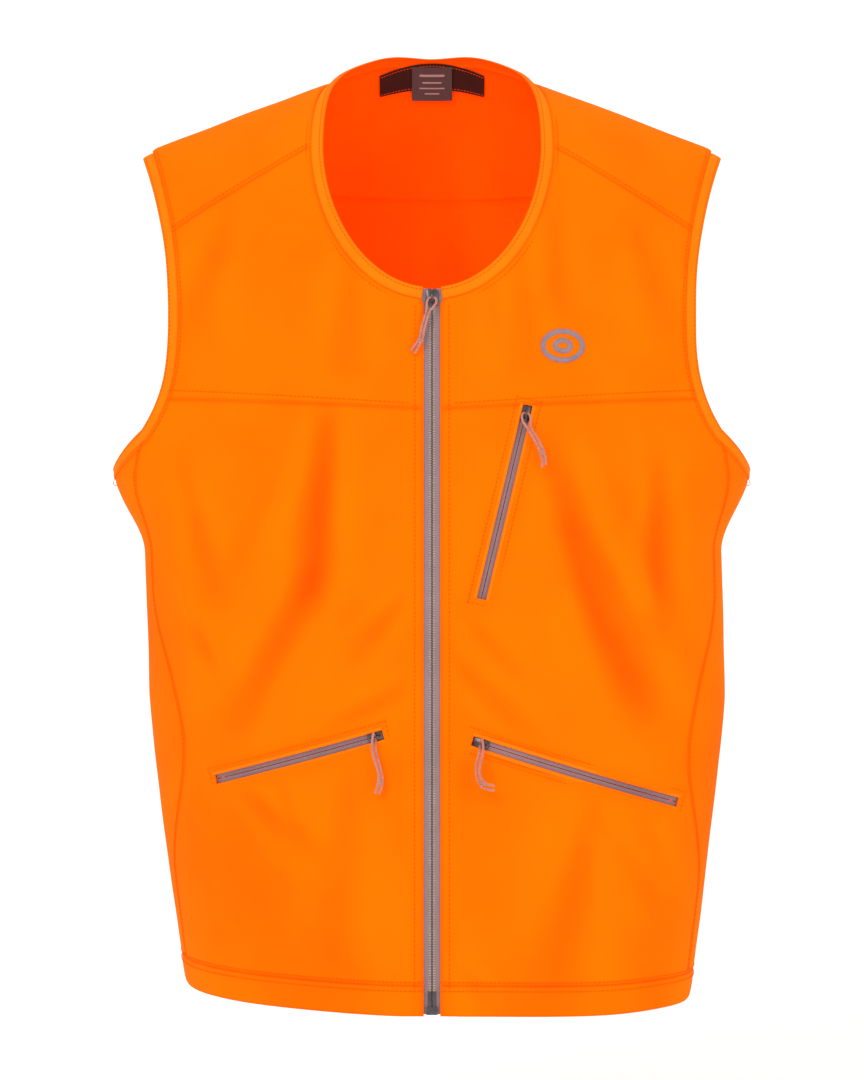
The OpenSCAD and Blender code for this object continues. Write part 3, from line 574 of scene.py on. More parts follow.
def placed(name: str, data: bpy.types.ID) -> bpy.types.Object:
    """Return a new object of this data, linked into the scene at the origin."""
    made = bpy.data.objects.new(name, data)
    bpy.context.scene.collection.objects.link(made)
    return made


def bake(piece: bpy.types.Object) -> None:
    """Replace a piece's mesh with what its modifiers make of it, and clear them."""
    graph = bpy.context.evaluated_depsgraph_get()
    done = bpy.data.meshes.new_from_object(piece.evaluated_get(graph))
    piece.modifiers.clear()
    piece.data = done


def new_object(name: str, verts: Array, faces: list, finishes: list[Finish],
               face_slots: list[int] | None = None, sharp: float = 50.0) -> bpy.types.Object:
    """Make one mesh object at the origin.

    Args:
        name: The piece's name.
        verts: Points in millimetres.
        faces: Corner numbers of each face, turned outward.
        finishes: The finishes of its material slots.
        face_slots: The material slot of each face, if there is more than one.
        sharp: The angle in degrees past which an edge stays crisp.

    Returns:
        The new object.
    """
    mesh = bpy.data.meshes.new(name)
    mesh.from_pydata((np.asarray(verts) * MM).tolist(), [], faces)
    for finish in finishes:
        mesh.materials.append(finish.build())
    if face_slots is not None:
        mesh.polygons.foreach_set("material_index", face_slots)
    mesh.polygons.foreach_set("use_smooth", [True] * len(mesh.polygons))
    mesh.set_sharp_from_angle(angle=math.radians(sharp))
    mesh.update()
    piece = placed(name, mesh)
    log.info("%s: %d faces", name, len(mesh.polygons))
    return piece


def walked(p: Array, axis: int) -> Array:
    """Return how far each point of a grid lies from its start, along one axis of the grid."""
    steps = np.linalg.norm(np.diff(p, axis=axis), axis=-1)
    zero = np.zeros_like(np.take(steps, [0], axis=axis))
    return np.cumsum(np.concatenate([zero, steps], axis=axis), axis=axis)


def edge_reach(p: Array) -> Array:
    """Return each grid point's distance to the nearest edge of its grid, along the grid."""
    reach = np.full(p.shape[:2], np.inf)
    for axis in (0, 1):
        run = walked(p, axis)
        reach = np.minimum(reach, np.minimum(run, np.take(run, [-1], axis=axis) - run))
    return reach


# Distances of a panel's first rows of points from its edge, where the seam's dip needs them, in mm
EDGE_ROWS = (0.0, 0.9, 2.0, 3.4, 5.2)


def graded(length: float, step: float) -> Array:
    """Return shares 0 to 1 along a length, close together at both ends and step apart between."""
    edge = np.array(EDGE_ROWS)
    count = max(2, int((length - 2 * edge[-1]) / step))
    middle = np.linspace(edge[-1], length - edge[-1], count + 1)[1:-1]
    return np.concatenate([edge, middle, length - edge[::-1]]) / length


@dataclass(frozen=True)
class Cloth:
    """A grid of points turned into one closed sheet of cloth."""

    name: str
    grid: Array
    out: Array
    thickness: float
    finish: Finish
    inner: Finish | None = None
    slot: str = "shell_fabric"
    fold_shade: Array | None = None
    edge_drop: float = 0.0
    edge_soft: float = 1.8
    # Strength of the painted shade along the sheet's edges, where the seams dip
    seam_shade: float = 0.3

    def build(self) -> bpy.types.Object:
        """Return the sheet as a mesh object, riding on the garment, with its flat size noted."""
        p, out = self.grid, unit(self.out)
        ni, nj = p.shape[:2]
        if self.edge_drop:
            near = np.exp(-(edge_reach(p) / self.edge_soft) ** 2)
            p = p - out * (self.edge_drop * near)[..., None]
        tangent_i = np.gradient(p, axis=0)
        tangent_j = np.gradient(p, axis=1)
        turned = float(np.median(np.sum(np.cross(tangent_i, tangent_j) * out, axis=-1))) < 0
        half = self.thickness / 2
        n = ni * nj
        verts = np.concatenate([(p + out * half).reshape(-1, 3), (p - out * half).reshape(-1, 3)])
        ids = np.arange(n).reshape(ni, nj)
        quads = np.stack([ids[:-1, :-1], ids[1:, :-1], ids[1:, 1:], ids[:-1, 1:]], axis=-1).reshape(-1, 4)
        rim = np.concatenate([ids[:, 0], ids[-1, 1:], ids[-2::-1, -1], ids[0, -2:0:-1]])
        nxt = np.roll(rim, -1)
        sides = np.stack([rim, rim + n, nxt + n, nxt], axis=-1)
        faces = np.concatenate([quads, quads[:, ::-1] + n, sides])
        if turned:
            faces = faces[:, ::-1]
        marks = np.concatenate([np.zeros(len(quads)), np.ones(len(quads)), np.zeros(len(sides))])
        finishes = [self.finish, self.inner or self.finish]
        piece = new_object(self.name, verts, faces.tolist(), finishes,
                           marks.astype(int).tolist())
        self._map(piece, p)
        if self.fold_shade is not None:
            # Painted shade: the fold shade, plus the seam shade near the edges, stored for the material to
            # darken the colour
            layer = piece.data.attributes.new("fold_shade", "FLOAT", "POINT")
            depth = self.fold_shade + (self.seam_shade * near if self.edge_drop else 0.0)
            layer.data.foreach_set("value", np.tile(depth.reshape(-1), 2).astype(np.float32))
        self._note_size(piece, p)
        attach(piece, GARMENT)
        return piece

    def _map(self, piece: bpy.types.Object, p: Array) -> None:
        """Give the sheet a UV map in metres along its own surface."""
        across, along = walked(p, 0), walked(p, 1)
        u = np.tile((across - across.mean(axis=0, keepdims=True)).reshape(-1), 2) * MM
        v = np.tile(along.reshape(-1), 2) * MM
        mesh = piece.data
        corner = np.empty(len(mesh.loops), dtype=np.int64)
        mesh.loops.foreach_get("vertex_index", corner)
        layer = mesh.uv_layers.new(name="cloth")
        layer.data.foreach_set("uv", np.stack([u[corner], v[corner]], axis=-1).reshape(-1))

    def _note_size(self, piece: bpy.types.Object, p: Array) -> None:
        """Store the flat width, length and area of the cut on the piece, in metres."""
        wide = np.linalg.norm(np.diff(p, axis=0), axis=-1).sum(axis=0).max() * MM
        long = np.linalg.norm(np.diff(p, axis=1), axis=-1).sum(axis=1).max() * MM
        cross = np.cross(p[1:, :-1] - p[:-1, :-1], p[:-1, 1:] - p[:-1, :-1])
        area = float(np.linalg.norm(cross, axis=-1).sum()) * MM * MM
        piece["flat_w"] = float(wide)
        piece["flat_l"] = float(long)
        piece["flat_area"] = min(area, float(wide * long))


def tube(path: Array, radius: float, sides: int, closed: bool = False) -> tuple[Array, list]:
    """Sweep a round section along a path.

    Args:
        path: Points in millimetres.
        radius: The section's radius.
        sides: The number of its sides.
        closed: Whether the path joins its own start.

    Returns:
        The points and the faces.
    """
    n = len(path)
    way = unit(np.roll(path, -1, axis=0) - np.roll(path, 1, axis=0))
    if not closed:
        way[0] = unit(path[1] - path[0])
        way[-1] = unit(path[-1] - path[-2])
    first = unit(np.cross(way[0], [0.21, 0.37, 0.9]))
    frames = [first]
    for i in range(1, n):
        frames.append(unit(frames[-1] - way[i] * np.dot(frames[-1], way[i])))
    side = np.array(frames)
    if closed:
        end = frames[-1] - way[0] * np.dot(frames[-1], way[0])
        gap = math.atan2(float(np.dot(np.cross(end, first), way[0])), float(np.dot(end, first)))
        turn = gap * np.arange(n) / n
        other = np.cross(way, side)
        side = side * np.cos(turn)[:, None] + other * np.sin(turn)[:, None]
    up = np.cross(way, side)
    angle = 2 * np.pi * np.arange(sides) / sides
    ring = side[:, None] * np.cos(angle)[None, :, None] + up[:, None] * np.sin(angle)[None, :, None]
    verts = (path[:, None] + radius * ring).reshape(-1, 3)
    faces = []
    for i in range(n if closed else n - 1):
        a, b = i * sides, ((i + 1) % n) * sides
        faces += [[a + k, a + (k + 1) % sides, b + (k + 1) % sides, b + k] for k in range(sides)]
    if not closed:
        faces.append(list(range(sides - 1, -1, -1)))
        faces.append([(n - 1) * sides + k for k in range(sides)])
    return verts, faces


# ---------------------------------------------------------------- zips


@dataclass(frozen=True)
class ZipLine:
    """The middle line of a zip. Across it, into the body, and up to its closed end."""

    length: float
    origin: Array
    across: Array
    into: Array
    up: Array
    radius: float = 0.0

    def at(self, mm: Array, h: Array = 0.0, depth: Array = 0.0) -> Array:
        """Return points a distance down the zip, to one side and below the cloth's middle."""
        mm, h, depth = np.broadcast_arrays(*(np.asarray(v, float) for v in (mm, h, depth)))
        if not self.radius:
            return self.origin - mm[..., None] * self.up + h[..., None] * self.across \
                + depth[..., None] * self.into
        w = (mm / self.radius)[..., None]
        ray = -self.into * np.cos(w) - self.up * np.sin(w)
        centre = self.origin + self.into * self.radius
        return centre + ray * (self.radius - depth[..., None]) + self.across * h[..., None]

    def axes(self, mm: float) -> Matrix:
        """Return the frame at a distance down the zip: across, into and up, in metres."""
        here = self.at(mm)
        into = unit(self.at(mm, 0.0, 1.0) - here)
        up = unit(self.at(mm - 0.5) - self.at(mm + 0.5))
        frame_here = Matrix.Identity(4)
        for column, value in enumerate((self.across, into, up)):
            for row in range(3):
                frame_here[row][column] = float(value[row])
        for row in range(3):
            frame_here[row][3] = float(here[row])
        return frame_here

    def out(self, mm: Array) -> Array:
        """Return the way out of the cloth down the zip."""
        mm = np.asarray(mm, float)
        return unit(self.at(mm, 0.0, -1.0) - self.at(mm))

    def distance(self, p: Array) -> Array:
        """Return how far points are from the zip's middle line."""
        line = self.at(np.linspace(0, self.length, 40))
        start, run = line[:-1], np.diff(line, axis=0)
        best = np.full(p.shape[:-1], np.inf)
        for a, r in zip(start, run):
            t = np.clip(((p - a) @ r) / float(r @ r), 0, 1)
            best = np.minimum(best, np.linalg.norm(p - a - t[..., None] * r, axis=-1))
        return best


@dataclass(frozen=True)
class VestLines:
    """The lines that the zips lie on, worked out from the body."""

    form: BodyForm
    chest_zip_x: float = 68.6
    chest_zip_z: float = -246.5
    chest_zip_len: float = 143.0
    chest_zip_lean: float = 13.6
    hand_left: tuple = ((28.5, -485.0), (175.0, -530.0))
    hand_right: tuple = ((-34.5, -481.0), (-158.0, -518.0))

    def front(self) -> ZipLine:
        """Return the front zip's line."""
        top = self.form.on_front(0.0, -self.form.neck_drop)
        low = self.form.on_front(0.0, self.form.hem_z)
        up = unit(top - low)
        across = np.array([1.0, 0.0, 0.0])
        return ZipLine(float(np.linalg.norm(top - low)) - 1, top, across, np.cross(up, across), up)

    def chest(self) -> ZipLine:
        """Return the chest pocket's zip line."""
        lean = math.radians(self.chest_zip_lean)
        top = self.form.on_front(self.chest_zip_x, self.chest_zip_z)
        low = self.form.on_front(self.chest_zip_x - self.chest_zip_len * math.sin(lean),
                                 self.chest_zip_z - self.chest_zip_len * math.cos(lean))
        up = unit(top - low)
        across = unit(np.cross(up, self.form.outward((top + low) / 2)))
        return ZipLine(self.chest_zip_len, top, across, np.cross(up, across), up)

    def hand(self, ends: tuple) -> ZipLine:
        """Return a hand pocket's zip line, an arc through three points of the front.

        Args:
            ends: The x and z of its inner and outer end.

        Returns:
            The line.
        """
        a, b = np.array(ends[0]), np.array(ends[1])
        p = [self.form.on_front(*mix(a, b, t)) for t in (0.0, 0.5, 1.0)]
        u, v = p[1] - p[0], p[2] - p[0]
        w = np.cross(u, v)
        centre = p[0] + (np.cross(w, u) * (v @ v) + np.cross(v, w) * (u @ u)) / (2 * (w @ w))
        axis = unit(np.cross(p[0] - centre, p[2] - centre))
        ray = unit(p[0] - centre)
        radius = float(np.linalg.norm(p[0] - centre))
        sweep = math.acos(float(ray @ unit(p[2] - centre)))
        return ZipLine(radius * sweep, p[0], axis, -ray, -np.cross(axis, ray), radius)


# ---------------------------------------------------------------- what repeats


class Row:
    """A node tree that lays one small rounded shape along lines, at an even pitch."""

    def __init__(self, name: str) -> None:
        """Build the tree: resample the lines, place a bead on each point, realise and dress it."""
        self.tree = bpy.data.node_groups.new(name, "GeometryNodeTree")
        self.sockets: dict[str, str] = {}
        self._socket("Geometry", "NodeSocketGeometry")
        for label, kind in (("Pitch", "NodeSocketFloat"), ("Length", "NodeSocketFloat"),
                            ("Width", "NodeSocketFloat"), ("Height", "NodeSocketFloat"),
                            ("Turn", "NodeSocketFloat"), ("Finish", "NodeSocketMaterial")):
            self._socket(label, kind)
        self.tree.interface.new_socket("Geometry", in_out="OUTPUT", socket_type="NodeSocketGeometry")
        self._build()

    def _socket(self, label: str, kind: str) -> None:
        """Add a named input and remember its identifier."""
        made = self.tree.interface.new_socket(label, in_out="INPUT", socket_type=kind)
        self.sockets[label] = made.identifier

    def _build(self) -> None:
        """Add the nodes."""
        tree = self.tree
        given = add(tree, "NodeGroupInput").outputs
        lines = add(tree, "GeometryNodeMeshToCurve", {}, {"Mesh": given["Geometry"]})
        spaced = add(tree, "GeometryNodeResampleCurve", {},
                     {"Curve": lines.outputs["Curve"], "Length": given["Pitch"]}, mode="LENGTH")
        tangent = add(tree, "GeometryNodeInputTangent")
        normal = add(tree, "GeometryNodeInputNamedAttribute", {"Name": "out"}, data_type="FLOAT_VECTOR")
        along = add(tree, "FunctionNodeAlignRotationToVector", {}, {"Vector": tangent.outputs["Tangent"]},
                    axis="X")
        upright = add(tree, "FunctionNodeAlignRotationToVector", {},
                      {"Rotation": along.outputs["Rotation"], "Vector": normal.outputs["Attribute"]},
                      axis="Z", pivot_axis="X")
        spin = add(tree, "FunctionNodeAxisAngleToRotation", {"Axis": (0.0, 0.0, 1.0)},
                   {"Angle": given["Turn"]})
        turned = add(tree, "FunctionNodeRotateRotation", {},
                     {"Rotation": upright.outputs["Rotation"], "Rotate By": spin.outputs["Rotation"]},
                     rotation_space="LOCAL")
        size = add(tree, "ShaderNodeCombineXYZ", {},
                   {"X": given["Length"], "Y": given["Width"], "Z": given["Height"]})
        bead = add(tree, "GeometryNodeMeshUVSphere", {"Segments": 8, "Rings": 5, "Radius": 0.5})
        placed = add(tree, "GeometryNodeInstanceOnPoints", {},
                     {"Points": spaced.outputs["Curve"], "Instance": bead.outputs["Mesh"],
                      "Rotation": turned.outputs["Rotation"], "Scale": size.outputs["Vector"]})
        real = add(tree, "GeometryNodeRealizeInstances", {}, {"Geometry": placed.outputs["Instances"]})
        soft = add(tree, "GeometryNodeSetShadeSmooth", {}, {"Geometry": real.outputs["Geometry"]})
        dressed = add(tree, "GeometryNodeSetMaterial", {},
                      {"Geometry": soft.outputs["Geometry"], "Material": given["Finish"]})
        add(tree, "NodeGroupOutput", {}, {"Geometry": dressed.outputs["Geometry"]})

    def lay(self, name: str, lines: list[tuple[Array, Array]], pitch: float, size: tuple,
            finish: Finish, slot: str, turn: float = 0.0) -> bpy.types.Object:
        """Lay the beads along lines and return them as one plain mesh on the garment.

        Args:
            name: The piece's name.
            lines: Pairs of points and outward ways, in millimetres.
            pitch: The distance from bead to bead, in millimetres.
            size: Each bead's length, width and height, in millimetres.
            finish: Its finish.
            slot: The record's material slot; not used.
            turn: How far each bead is turned from its line, in degrees.

        Returns:
            The finished piece.
        """
        verts, ways, edges = [], [], []
        for line, out in lines:
            first = len(verts)
            verts += (line * MM).tolist()
            ways += out.tolist()
            edges += [(first + k, first + k + 1) for k in range(len(line) - 1)]
        mesh = bpy.data.meshes.new(name)
        mesh.from_pydata(verts, edges, [])
        layer = mesh.attributes.new("out", "FLOAT_VECTOR", "POINT")
        layer.data.foreach_set("vector", np.array(ways, dtype=np.float32).reshape(-1))
        piece = placed(name, mesh)
        modifier = piece.modifiers.new("row", "NODES")
        modifier.node_group = self.tree
        values = {"Pitch": pitch * MM, "Length": size[0] * MM, "Width": size[1] * MM,
                  "Height": size[2] * MM, "Turn": math.radians(turn), "Finish": finish.build()}
        for label, value in values.items():
            modifier[self.sockets[label]] = value
        bake(piece)
        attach(piece, GARMENT)
        log.info("%s: %d faces", name, len(piece.data.polygons))
        return piece


# ---------------------------------------------------------------- the shell


@dataclass
class Shell:
    """The eight shell panels, sewn edge to edge on the worn shape."""

    form: BodyForm
    drape: Drape
    slots: dict[str, tuple[ZipLine, ...]]
    fabric_t: float = 1.2
    seam_gap: float = -0.2
    band_w: float = 9.0
    zip_gap_w: float = 11.8
    pocket_gap_w: float = 9.0
    chest_seam_z: float = -249.0
    chest_rise: float = 12.0
    back_seam_z: float = -70.0
    yoke_arm_z: float = -119.0
    yoke_neck_a: float = 88.0
    yoke_turn_a: float = 125.0
    step: float = 3.0
    seam_drop: float = 1.0
    # Fold depth, in mm, at which the painted fold shade is full
    fold_shade_depth: float = 9.0
    cut_depth: float = 14.0
    # Rough width and height of each panel, which set how many points its grid has
    chest_cut: tuple[float, float] = (180.0, 170.0)
    front_cut: tuple[float, float] = (205.0, 408.0)
    side_cut: tuple[float, float] = (125.0, 370.0)
    back_cut: tuple[float, float] = (390.0, 585.0)
    yoke_cut: tuple[float, float] = (110.0, 760.0)
    # Shares of a panel's height at which its edge leaves the zip or the side seam, and where the
    # armhole starts
    chest_split: float = 4 / 13
    front_split: tuple[float, float] = (14 / 17, 15 / 17)
    back_split: tuple[float, float] = (14 / 22, 15 / 22)
    split_drop: float = 12.0
    # Shares of the yoke's length over one shoulder and along half of the back seam
    yoke_over: float = 0.3
    yoke_back: float = 0.2
    yoke_fade: float = 40.0
    side_dip: float = 3.0

    @property
    def panel_in(self) -> float:
        """Width from a finished edge to the panel's own edge."""
        return self.band_w + self.seam_gap

    @property
    def gap_x(self) -> float:
        """Half the gap at the front zip."""
        return self.zip_gap_w / 2

    @property
    def neck_start(self) -> float:
        """Angle round the neck at which its band starts beside the zip."""
        return math.degrees(math.asin((self.gap_x + 0.4) / self.form.neck_half_w))

    def _yoke_ends(self) -> tuple[Array, Array]:
        """Return the yoke seam's inner and outer end, as x and arch angle."""
        form = self.form
        inner = form.arch_place(form.neck_in(self.yoke_neck_a, self.panel_in))
        outer = form.arch_place(form.arm_in(form.arm_share(self.yoke_arm_z), self.panel_in))
        return inner, outer

    def yoke_seam(self, u: Array) -> Array:
        """Return the forward shoulder seam, from the neck to the armhole."""
        inner, outer = self._yoke_ends()
        u = np.asarray(u, float)
        return self.form.over_shoulder(mix(inner[0], outer[0], u), mix(inner[1], outer[1], u))

    def draped(self, p: Array) -> tuple[Array, Array, Array]:
        """Return the folded points, the way out, and how deep in a fold each lies, which sets the painted
        fold shade.
        """
        out = self.form.outward(p)
        lift = self.drape.lift(p)
        # Painted fold shade: deep in the hollows of the folds, and a little lighter on their ridges
        fold_shade = np.clip(-lift / self.fold_shade_depth, -0.1, 0.6)
        return p + out * lift[..., None], out, fold_shade

    def _sheet(self, name: str, flat: Array) -> bpy.types.Object:
        """Build one panel from its smooth grid."""
        grid, out, fold_shade = self.draped(flat)
        piece = Cloth(name, grid, out, self.fabric_t, SOFTSHELL, SHADED_INSIDE, fold_shade=fold_shade,
                      edge_drop=self.seam_drop).build()
        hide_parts(name)
        return piece

    def _chest_grid(self, side: int) -> Array:
        """Return the grid of one chest panel."""
        form, gap = self.form, self.seam_gap
        u = graded(self.chest_cut[0], self.step)[:, None]
        v = graded(self.chest_cut[1], self.step)[None, :]
        top = float(form.neck_in(self.neck_start, self.panel_in)[2])
        split = self.chest_split
        low = np.clip(v / split, 0, 1)
        a = mix(self.neck_start, self.yoke_neck_a, np.clip((v - split) / (1 - split), 0, 1))
        neck = form.neck_in(a, self.panel_in)
        lx = np.where(v <= split, self.gap_x, np.maximum(neck[..., 0], self.gap_x))
        lz = np.where(v <= split, mix(self.chest_seam_z + gap / 2, top, low), neck[..., 2])
        arm_low = form.arm_share(self.chest_seam_z + self.chest_rise)
        right = form.arm_in(mix(arm_low, form.arm_share(self.yoke_arm_z), v), self.panel_in)
        seam = self.yoke_seam(u)[..., 2]
        ends = self.yoke_seam(np.array([0.0, 1.0]))[:, 2]
        bow = (seam - mix(ends[0], ends[1], u)) * v ** 4 - gap / 2 * v
        x, z = mix(lx, right[..., 0], u), mix(lz, right[..., 2], u) + bow
        return form.on_front(side * x, z)

    def _front_grid(self, side: int) -> Array:
        """Return the grid of one front panel."""
        form, gap = self.form, self.seam_gap
        u = graded(self.front_cut[0], self.step * 0.85)[:, None]
        v = graded(self.front_cut[1], self.step * 0.85)[None, :]
        split, arm_start = self.front_split
        z = mix(form.hem_seam_z + gap / 2, form.seam_top_z - self.split_drop, np.clip(v / split, 0, 1))
        seam = form.round_side(-form.seam_step(0.0, z, gap), z)
        arm_low = form.arm_share(self.chest_seam_z + self.chest_rise)
        arm = form.arm_in(mix(1.0, arm_low, np.clip((v - arm_start) / (1 - arm_start), 0, 1)),
                          self.panel_in)
        turn = np.clip((v - split) / (arm_start - split), 0, 1)
        ex = mix(seam[..., 0], arm[..., 0], turn)
        ez = mix(seam[..., 2], arm[..., 2], turn)
        centre_z = mix(form.hem_seam_z + gap / 2, self.chest_seam_z - gap / 2, v)
        return form.on_front(side * mix(self.gap_x, ex, u), mix(centre_z, ez, u))

    def _side_grid(self, side: int) -> Array:
        """Return the grid of one side panel."""
        form, gap = self.form, self.seam_gap
        i = graded(self.side_cut[0], self.step)[:, None]
        j = graded(self.side_cut[1], self.step)[None, :]
        top = form.arm_in(1 + 2 * i, self.panel_in)[..., 2] - gap - self.side_dip * np.abs(2 * i - 1)
        z = mix(form.hem_seam_z + gap / 2, top, j)
        s = mix(form.seam_step(0.0, z, gap), 1 - form.seam_step(1.0, z, gap), i)
        return form.round_side(s, z, side)

    def _back_grid(self) -> Array:
        """Return the grid of the back panel."""
        form, gap = self.form, self.seam_gap
        u = (2 * graded(self.back_cut[0], self.step * 1.2) - 1)[:, None]
        v = graded(self.back_cut[1], self.step * 1.2)[None, :]
        split, arm_start = self.back_split
        z = mix(form.hem_seam_z + gap / 2, form.seam_top_z - self.split_drop, np.clip(v / split, 0, 1))
        seam = form.round_side(1 + form.seam_step(1.0, z, gap), z)
        arm = form.arm_in(mix(3.0, 4 - form.arm_share(self.back_seam_z),
                              np.clip((v - arm_start) / (1 - arm_start), 0, 1)),
                          self.panel_in + gap)
        turn = np.clip((v - split) / (arm_start - split), 0, 1)
        ex = mix(seam[..., 0], arm[..., 0], turn)
        ez = np.minimum(mix(seam[..., 2], arm[..., 2], turn), self.back_seam_z - gap)
        return form.on_back(u * ex, ez + 0 * u)

    def _yoke_grid(self) -> Array:
        """Return the grid of the back yoke, from shoulder to shoulder."""
        form = self.form
        over, seam = self.yoke_over, self.yoke_back
        k = graded(self.yoke_cut[1], self.step * 0.9)[None, :]
        r = graded(self.yoke_cut[0], self.step)[:, None]
        k = np.where(k > 0.5, 1 - k, k) * 2 * (over + seam)
        mirror = np.where(np.arange(k.shape[1])[None, :] >= k.shape[1] / 2, -1.0, 1.0)
        front_s = form.arm_share(self.yoke_arm_z)
        back_s = 4 - form.arm_share(self.back_seam_z)
        t = np.clip(k / over, 0, 1)
        s = np.mod(front_s - t * (front_s + 4 - back_s), 4.0)
        outer = form.arch_place(form.arm_in(s, self.panel_in))
        end = form.arch_place(form.arm_in(back_s, self.panel_in))
        x = mix(end[0], 0.0, np.clip((k - over) / seam, 0, 1))
        flat = k > over
        ox = np.where(flat, x, outer[..., 0])
        oa = np.where(flat, form.arch_angle(x, self.back_seam_z), outer[..., 1])
        a = np.where(flat, mix(self.yoke_turn_a, 180.0, np.clip((k - over) / seam, 0, 1)),
                     mix(self.yoke_neck_a, self.yoke_turn_a, t))
        inner = form.arch_place(form.neck_in(a, self.panel_in + self.seam_gap / 2
                                             * np.minimum(1, k * self.yoke_fade)))
        px, pa = mix(inner[..., 0], ox, r), mix(inner[..., 1], oa, r)
        return form.over_shoulder(px * mirror, pa)

    def _cut(self, piece: bpy.types.Object, line: ZipLine) -> None:
        """Cut a pocket zip's slot through a panel."""
        half, deep = self.pocket_gap_w / 2, self.cut_depth
        mm = np.linspace(0.0, line.length, 41)
        ring = [(-half, -deep), (half, -deep), (half, deep), (-half, deep)]
        verts = np.concatenate([line.at(mm, h, d) for h, d in ring])
        n = len(mm)
        faces = []
        for k in range(4):
            a, b = k * n, ((k + 1) % 4) * n
            faces += [[a + i, a + i + 1, b + i + 1, b + i] for i in range(n - 1)]
        faces.append([0, n, 2 * n, 3 * n][::-1])
        faces.append([n - 1, 2 * n - 1, 3 * n - 1, 4 * n - 1])
        mesh = bpy.data.meshes.new("slot_cutter")
        mesh.from_pydata((verts * MM).tolist(), [], faces)
        work = bmesh.new()
        work.from_mesh(mesh)
        bmesh.ops.recalc_face_normals(work, faces=work.faces)
        work.to_mesh(mesh)
        work.free()
        cutter = placed("slot_cutter", mesh)
        modifier = piece.modifiers.new("slot", "BOOLEAN")
        modifier.object = cutter
        modifier.operation = "DIFFERENCE"
        modifier.solver = "EXACT"
        bake(piece)
        bpy.data.objects.remove(cutter)

    def build(self) -> list[bpy.types.Object]:
        """Build the eight panels, cut the pocket slots and return them."""
        made = []
        for side, word in ((1, "left"), (-1, "right")):
            made.append(self._sheet(f"chest_panel_{word}", self._chest_grid(side)))
            front = self._sheet(f"front_panel_{word}", self._front_grid(side))
            for line in self.slots[word]:
                self._cut(front, line)
            made.append(front)
            made.append(self._sheet(f"side_panel_{word}", self._side_grid(side)))
        made.append(self._sheet("back_panel", self._back_grid()))
        made.append(self._sheet("back_yoke", self._yoke_grid()))
        return made


# Distances of the rows of points across a band from its free edge, in millimetres
BAND_ROWS = (0, 0.5, 1.2, 2.4, 3.8, 5.2, 6.6, 7.8, 8.5, 9.0)
# Shares of the hem band's height at which its rows of points lie
HEM_ROWS = (0, 0.03, 0.08, 0.16, 0.3, 0.45, 0.6, 0.74, 0.86, 0.94, 1.0)


@dataclass
class Bands:
    """The neck band, the armhole bands and the hem band, with a crowned section."""

    shell: Shell
    front_share: float = 0.35
    side_share: float = 0.3
    hem_t: float = 1.6
    hem_out: float = 0.3
    crown: float = 0.7

    def _strip(self, name: str, flat: Array, share: Array, finish: Finish, t: float,
               offset: float = 0.0) -> bpy.types.Object:
        """Build one band from its smooth grid; share runs 0 to 1 across it."""
        grid, out, fold_shade = self.shell.draped(flat)
        rise = offset + self.crown * (1 - (2 * share - 1) ** 4) - self.crown
        piece = Cloth(name, grid + out * rise[..., None], out, t, finish, SHADED_INSIDE, fold_shade=fold_shade,
                      edge_drop=0.35, edge_soft=0.8).build()
        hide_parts(name)
        return piece

    def neck(self) -> bpy.types.Object:
        """Build the neck band."""
        shell = self.shell
        w = np.array(BAND_ROWS)[:, None]
        a = np.linspace(shell.neck_start, 360 - shell.neck_start, 330)[None, :]
        flat = shell.form.neck_in(a + 0 * w, w + 0 * a)
        return self._strip("neck_band", flat, (w + 0 * a) / shell.band_w, BINDING, shell.fabric_t)

    def arm(self, side: int, word: str) -> bpy.types.Object:
        """Build one armhole band."""
        shell = self.shell
        w = np.array(BAND_ROWS)[:, None]
        s = np.linspace(0.02, 3.98, 340)[None, :]
        flat = shell.form.arm_in(s + 0 * w, w + 0 * s) * np.array([side, 1, 1])
        return self._strip(f"armhole_band_{word}", flat, (w + 0 * s) / shell.band_w, BINDING,
                           shell.fabric_t)

    def hem_line(self, z: Array, count: int) -> Array:
        """Return the way round the hem at a level, from the zip round to the zip."""
        form, gap_x, turn = self.shell.form, self.shell.gap_x, self.front_share
        t = np.linspace(0, 1, count)[None, :]
        z = np.asarray(z, float).reshape(-1, 1)
        x = form.half_w(z) * form.seam_ratio(z)

        def spread(u: Array) -> Array:
            """Return shares that crowd towards the side seam."""
            return 1 - (1 - np.clip(u, 0, 1)) ** 1.5

        halves = []
        for side in (1, -1):
            front = form.on_front(side * mix(gap_x, x, spread(t / turn)), z + 0 * t)
            round_it = form.round_side(np.clip((t - turn) / self.side_share, 0, 1) + 0 * z,
                                       z + 0 * t, side)
            back = form.on_back(side * mix(0.0, x, spread((1 - t) / turn)), z + 0 * t)
            halves.append(np.where((t < turn)[..., None], front,
                                   np.where((t < 1 - turn)[..., None], round_it, back)))
        return np.concatenate([halves[0], halves[1][:, -2::-1]], axis=1)

    def hem(self) -> bpy.types.Object:
        """Build the hem band."""
        form, shell = self.shell.form, self.shell
        h = shell.form.hem_band_h - shell.seam_gap / 2
        share = np.array(HEM_ROWS)
        flat = self.hem_line(form.hem_z + share * h, 230)
        return self._strip("hem_band", flat, share[:, None] + 0 * flat[..., 0], SOFTSHELL, self.hem_t,
                           self.hem_out)

    def build(self) -> list[bpy.types.Object]:
        """Build all four bands."""
        made = [self.neck(), self.arm(1, "left"), self.arm(-1, "right"), self.hem()]
        return made


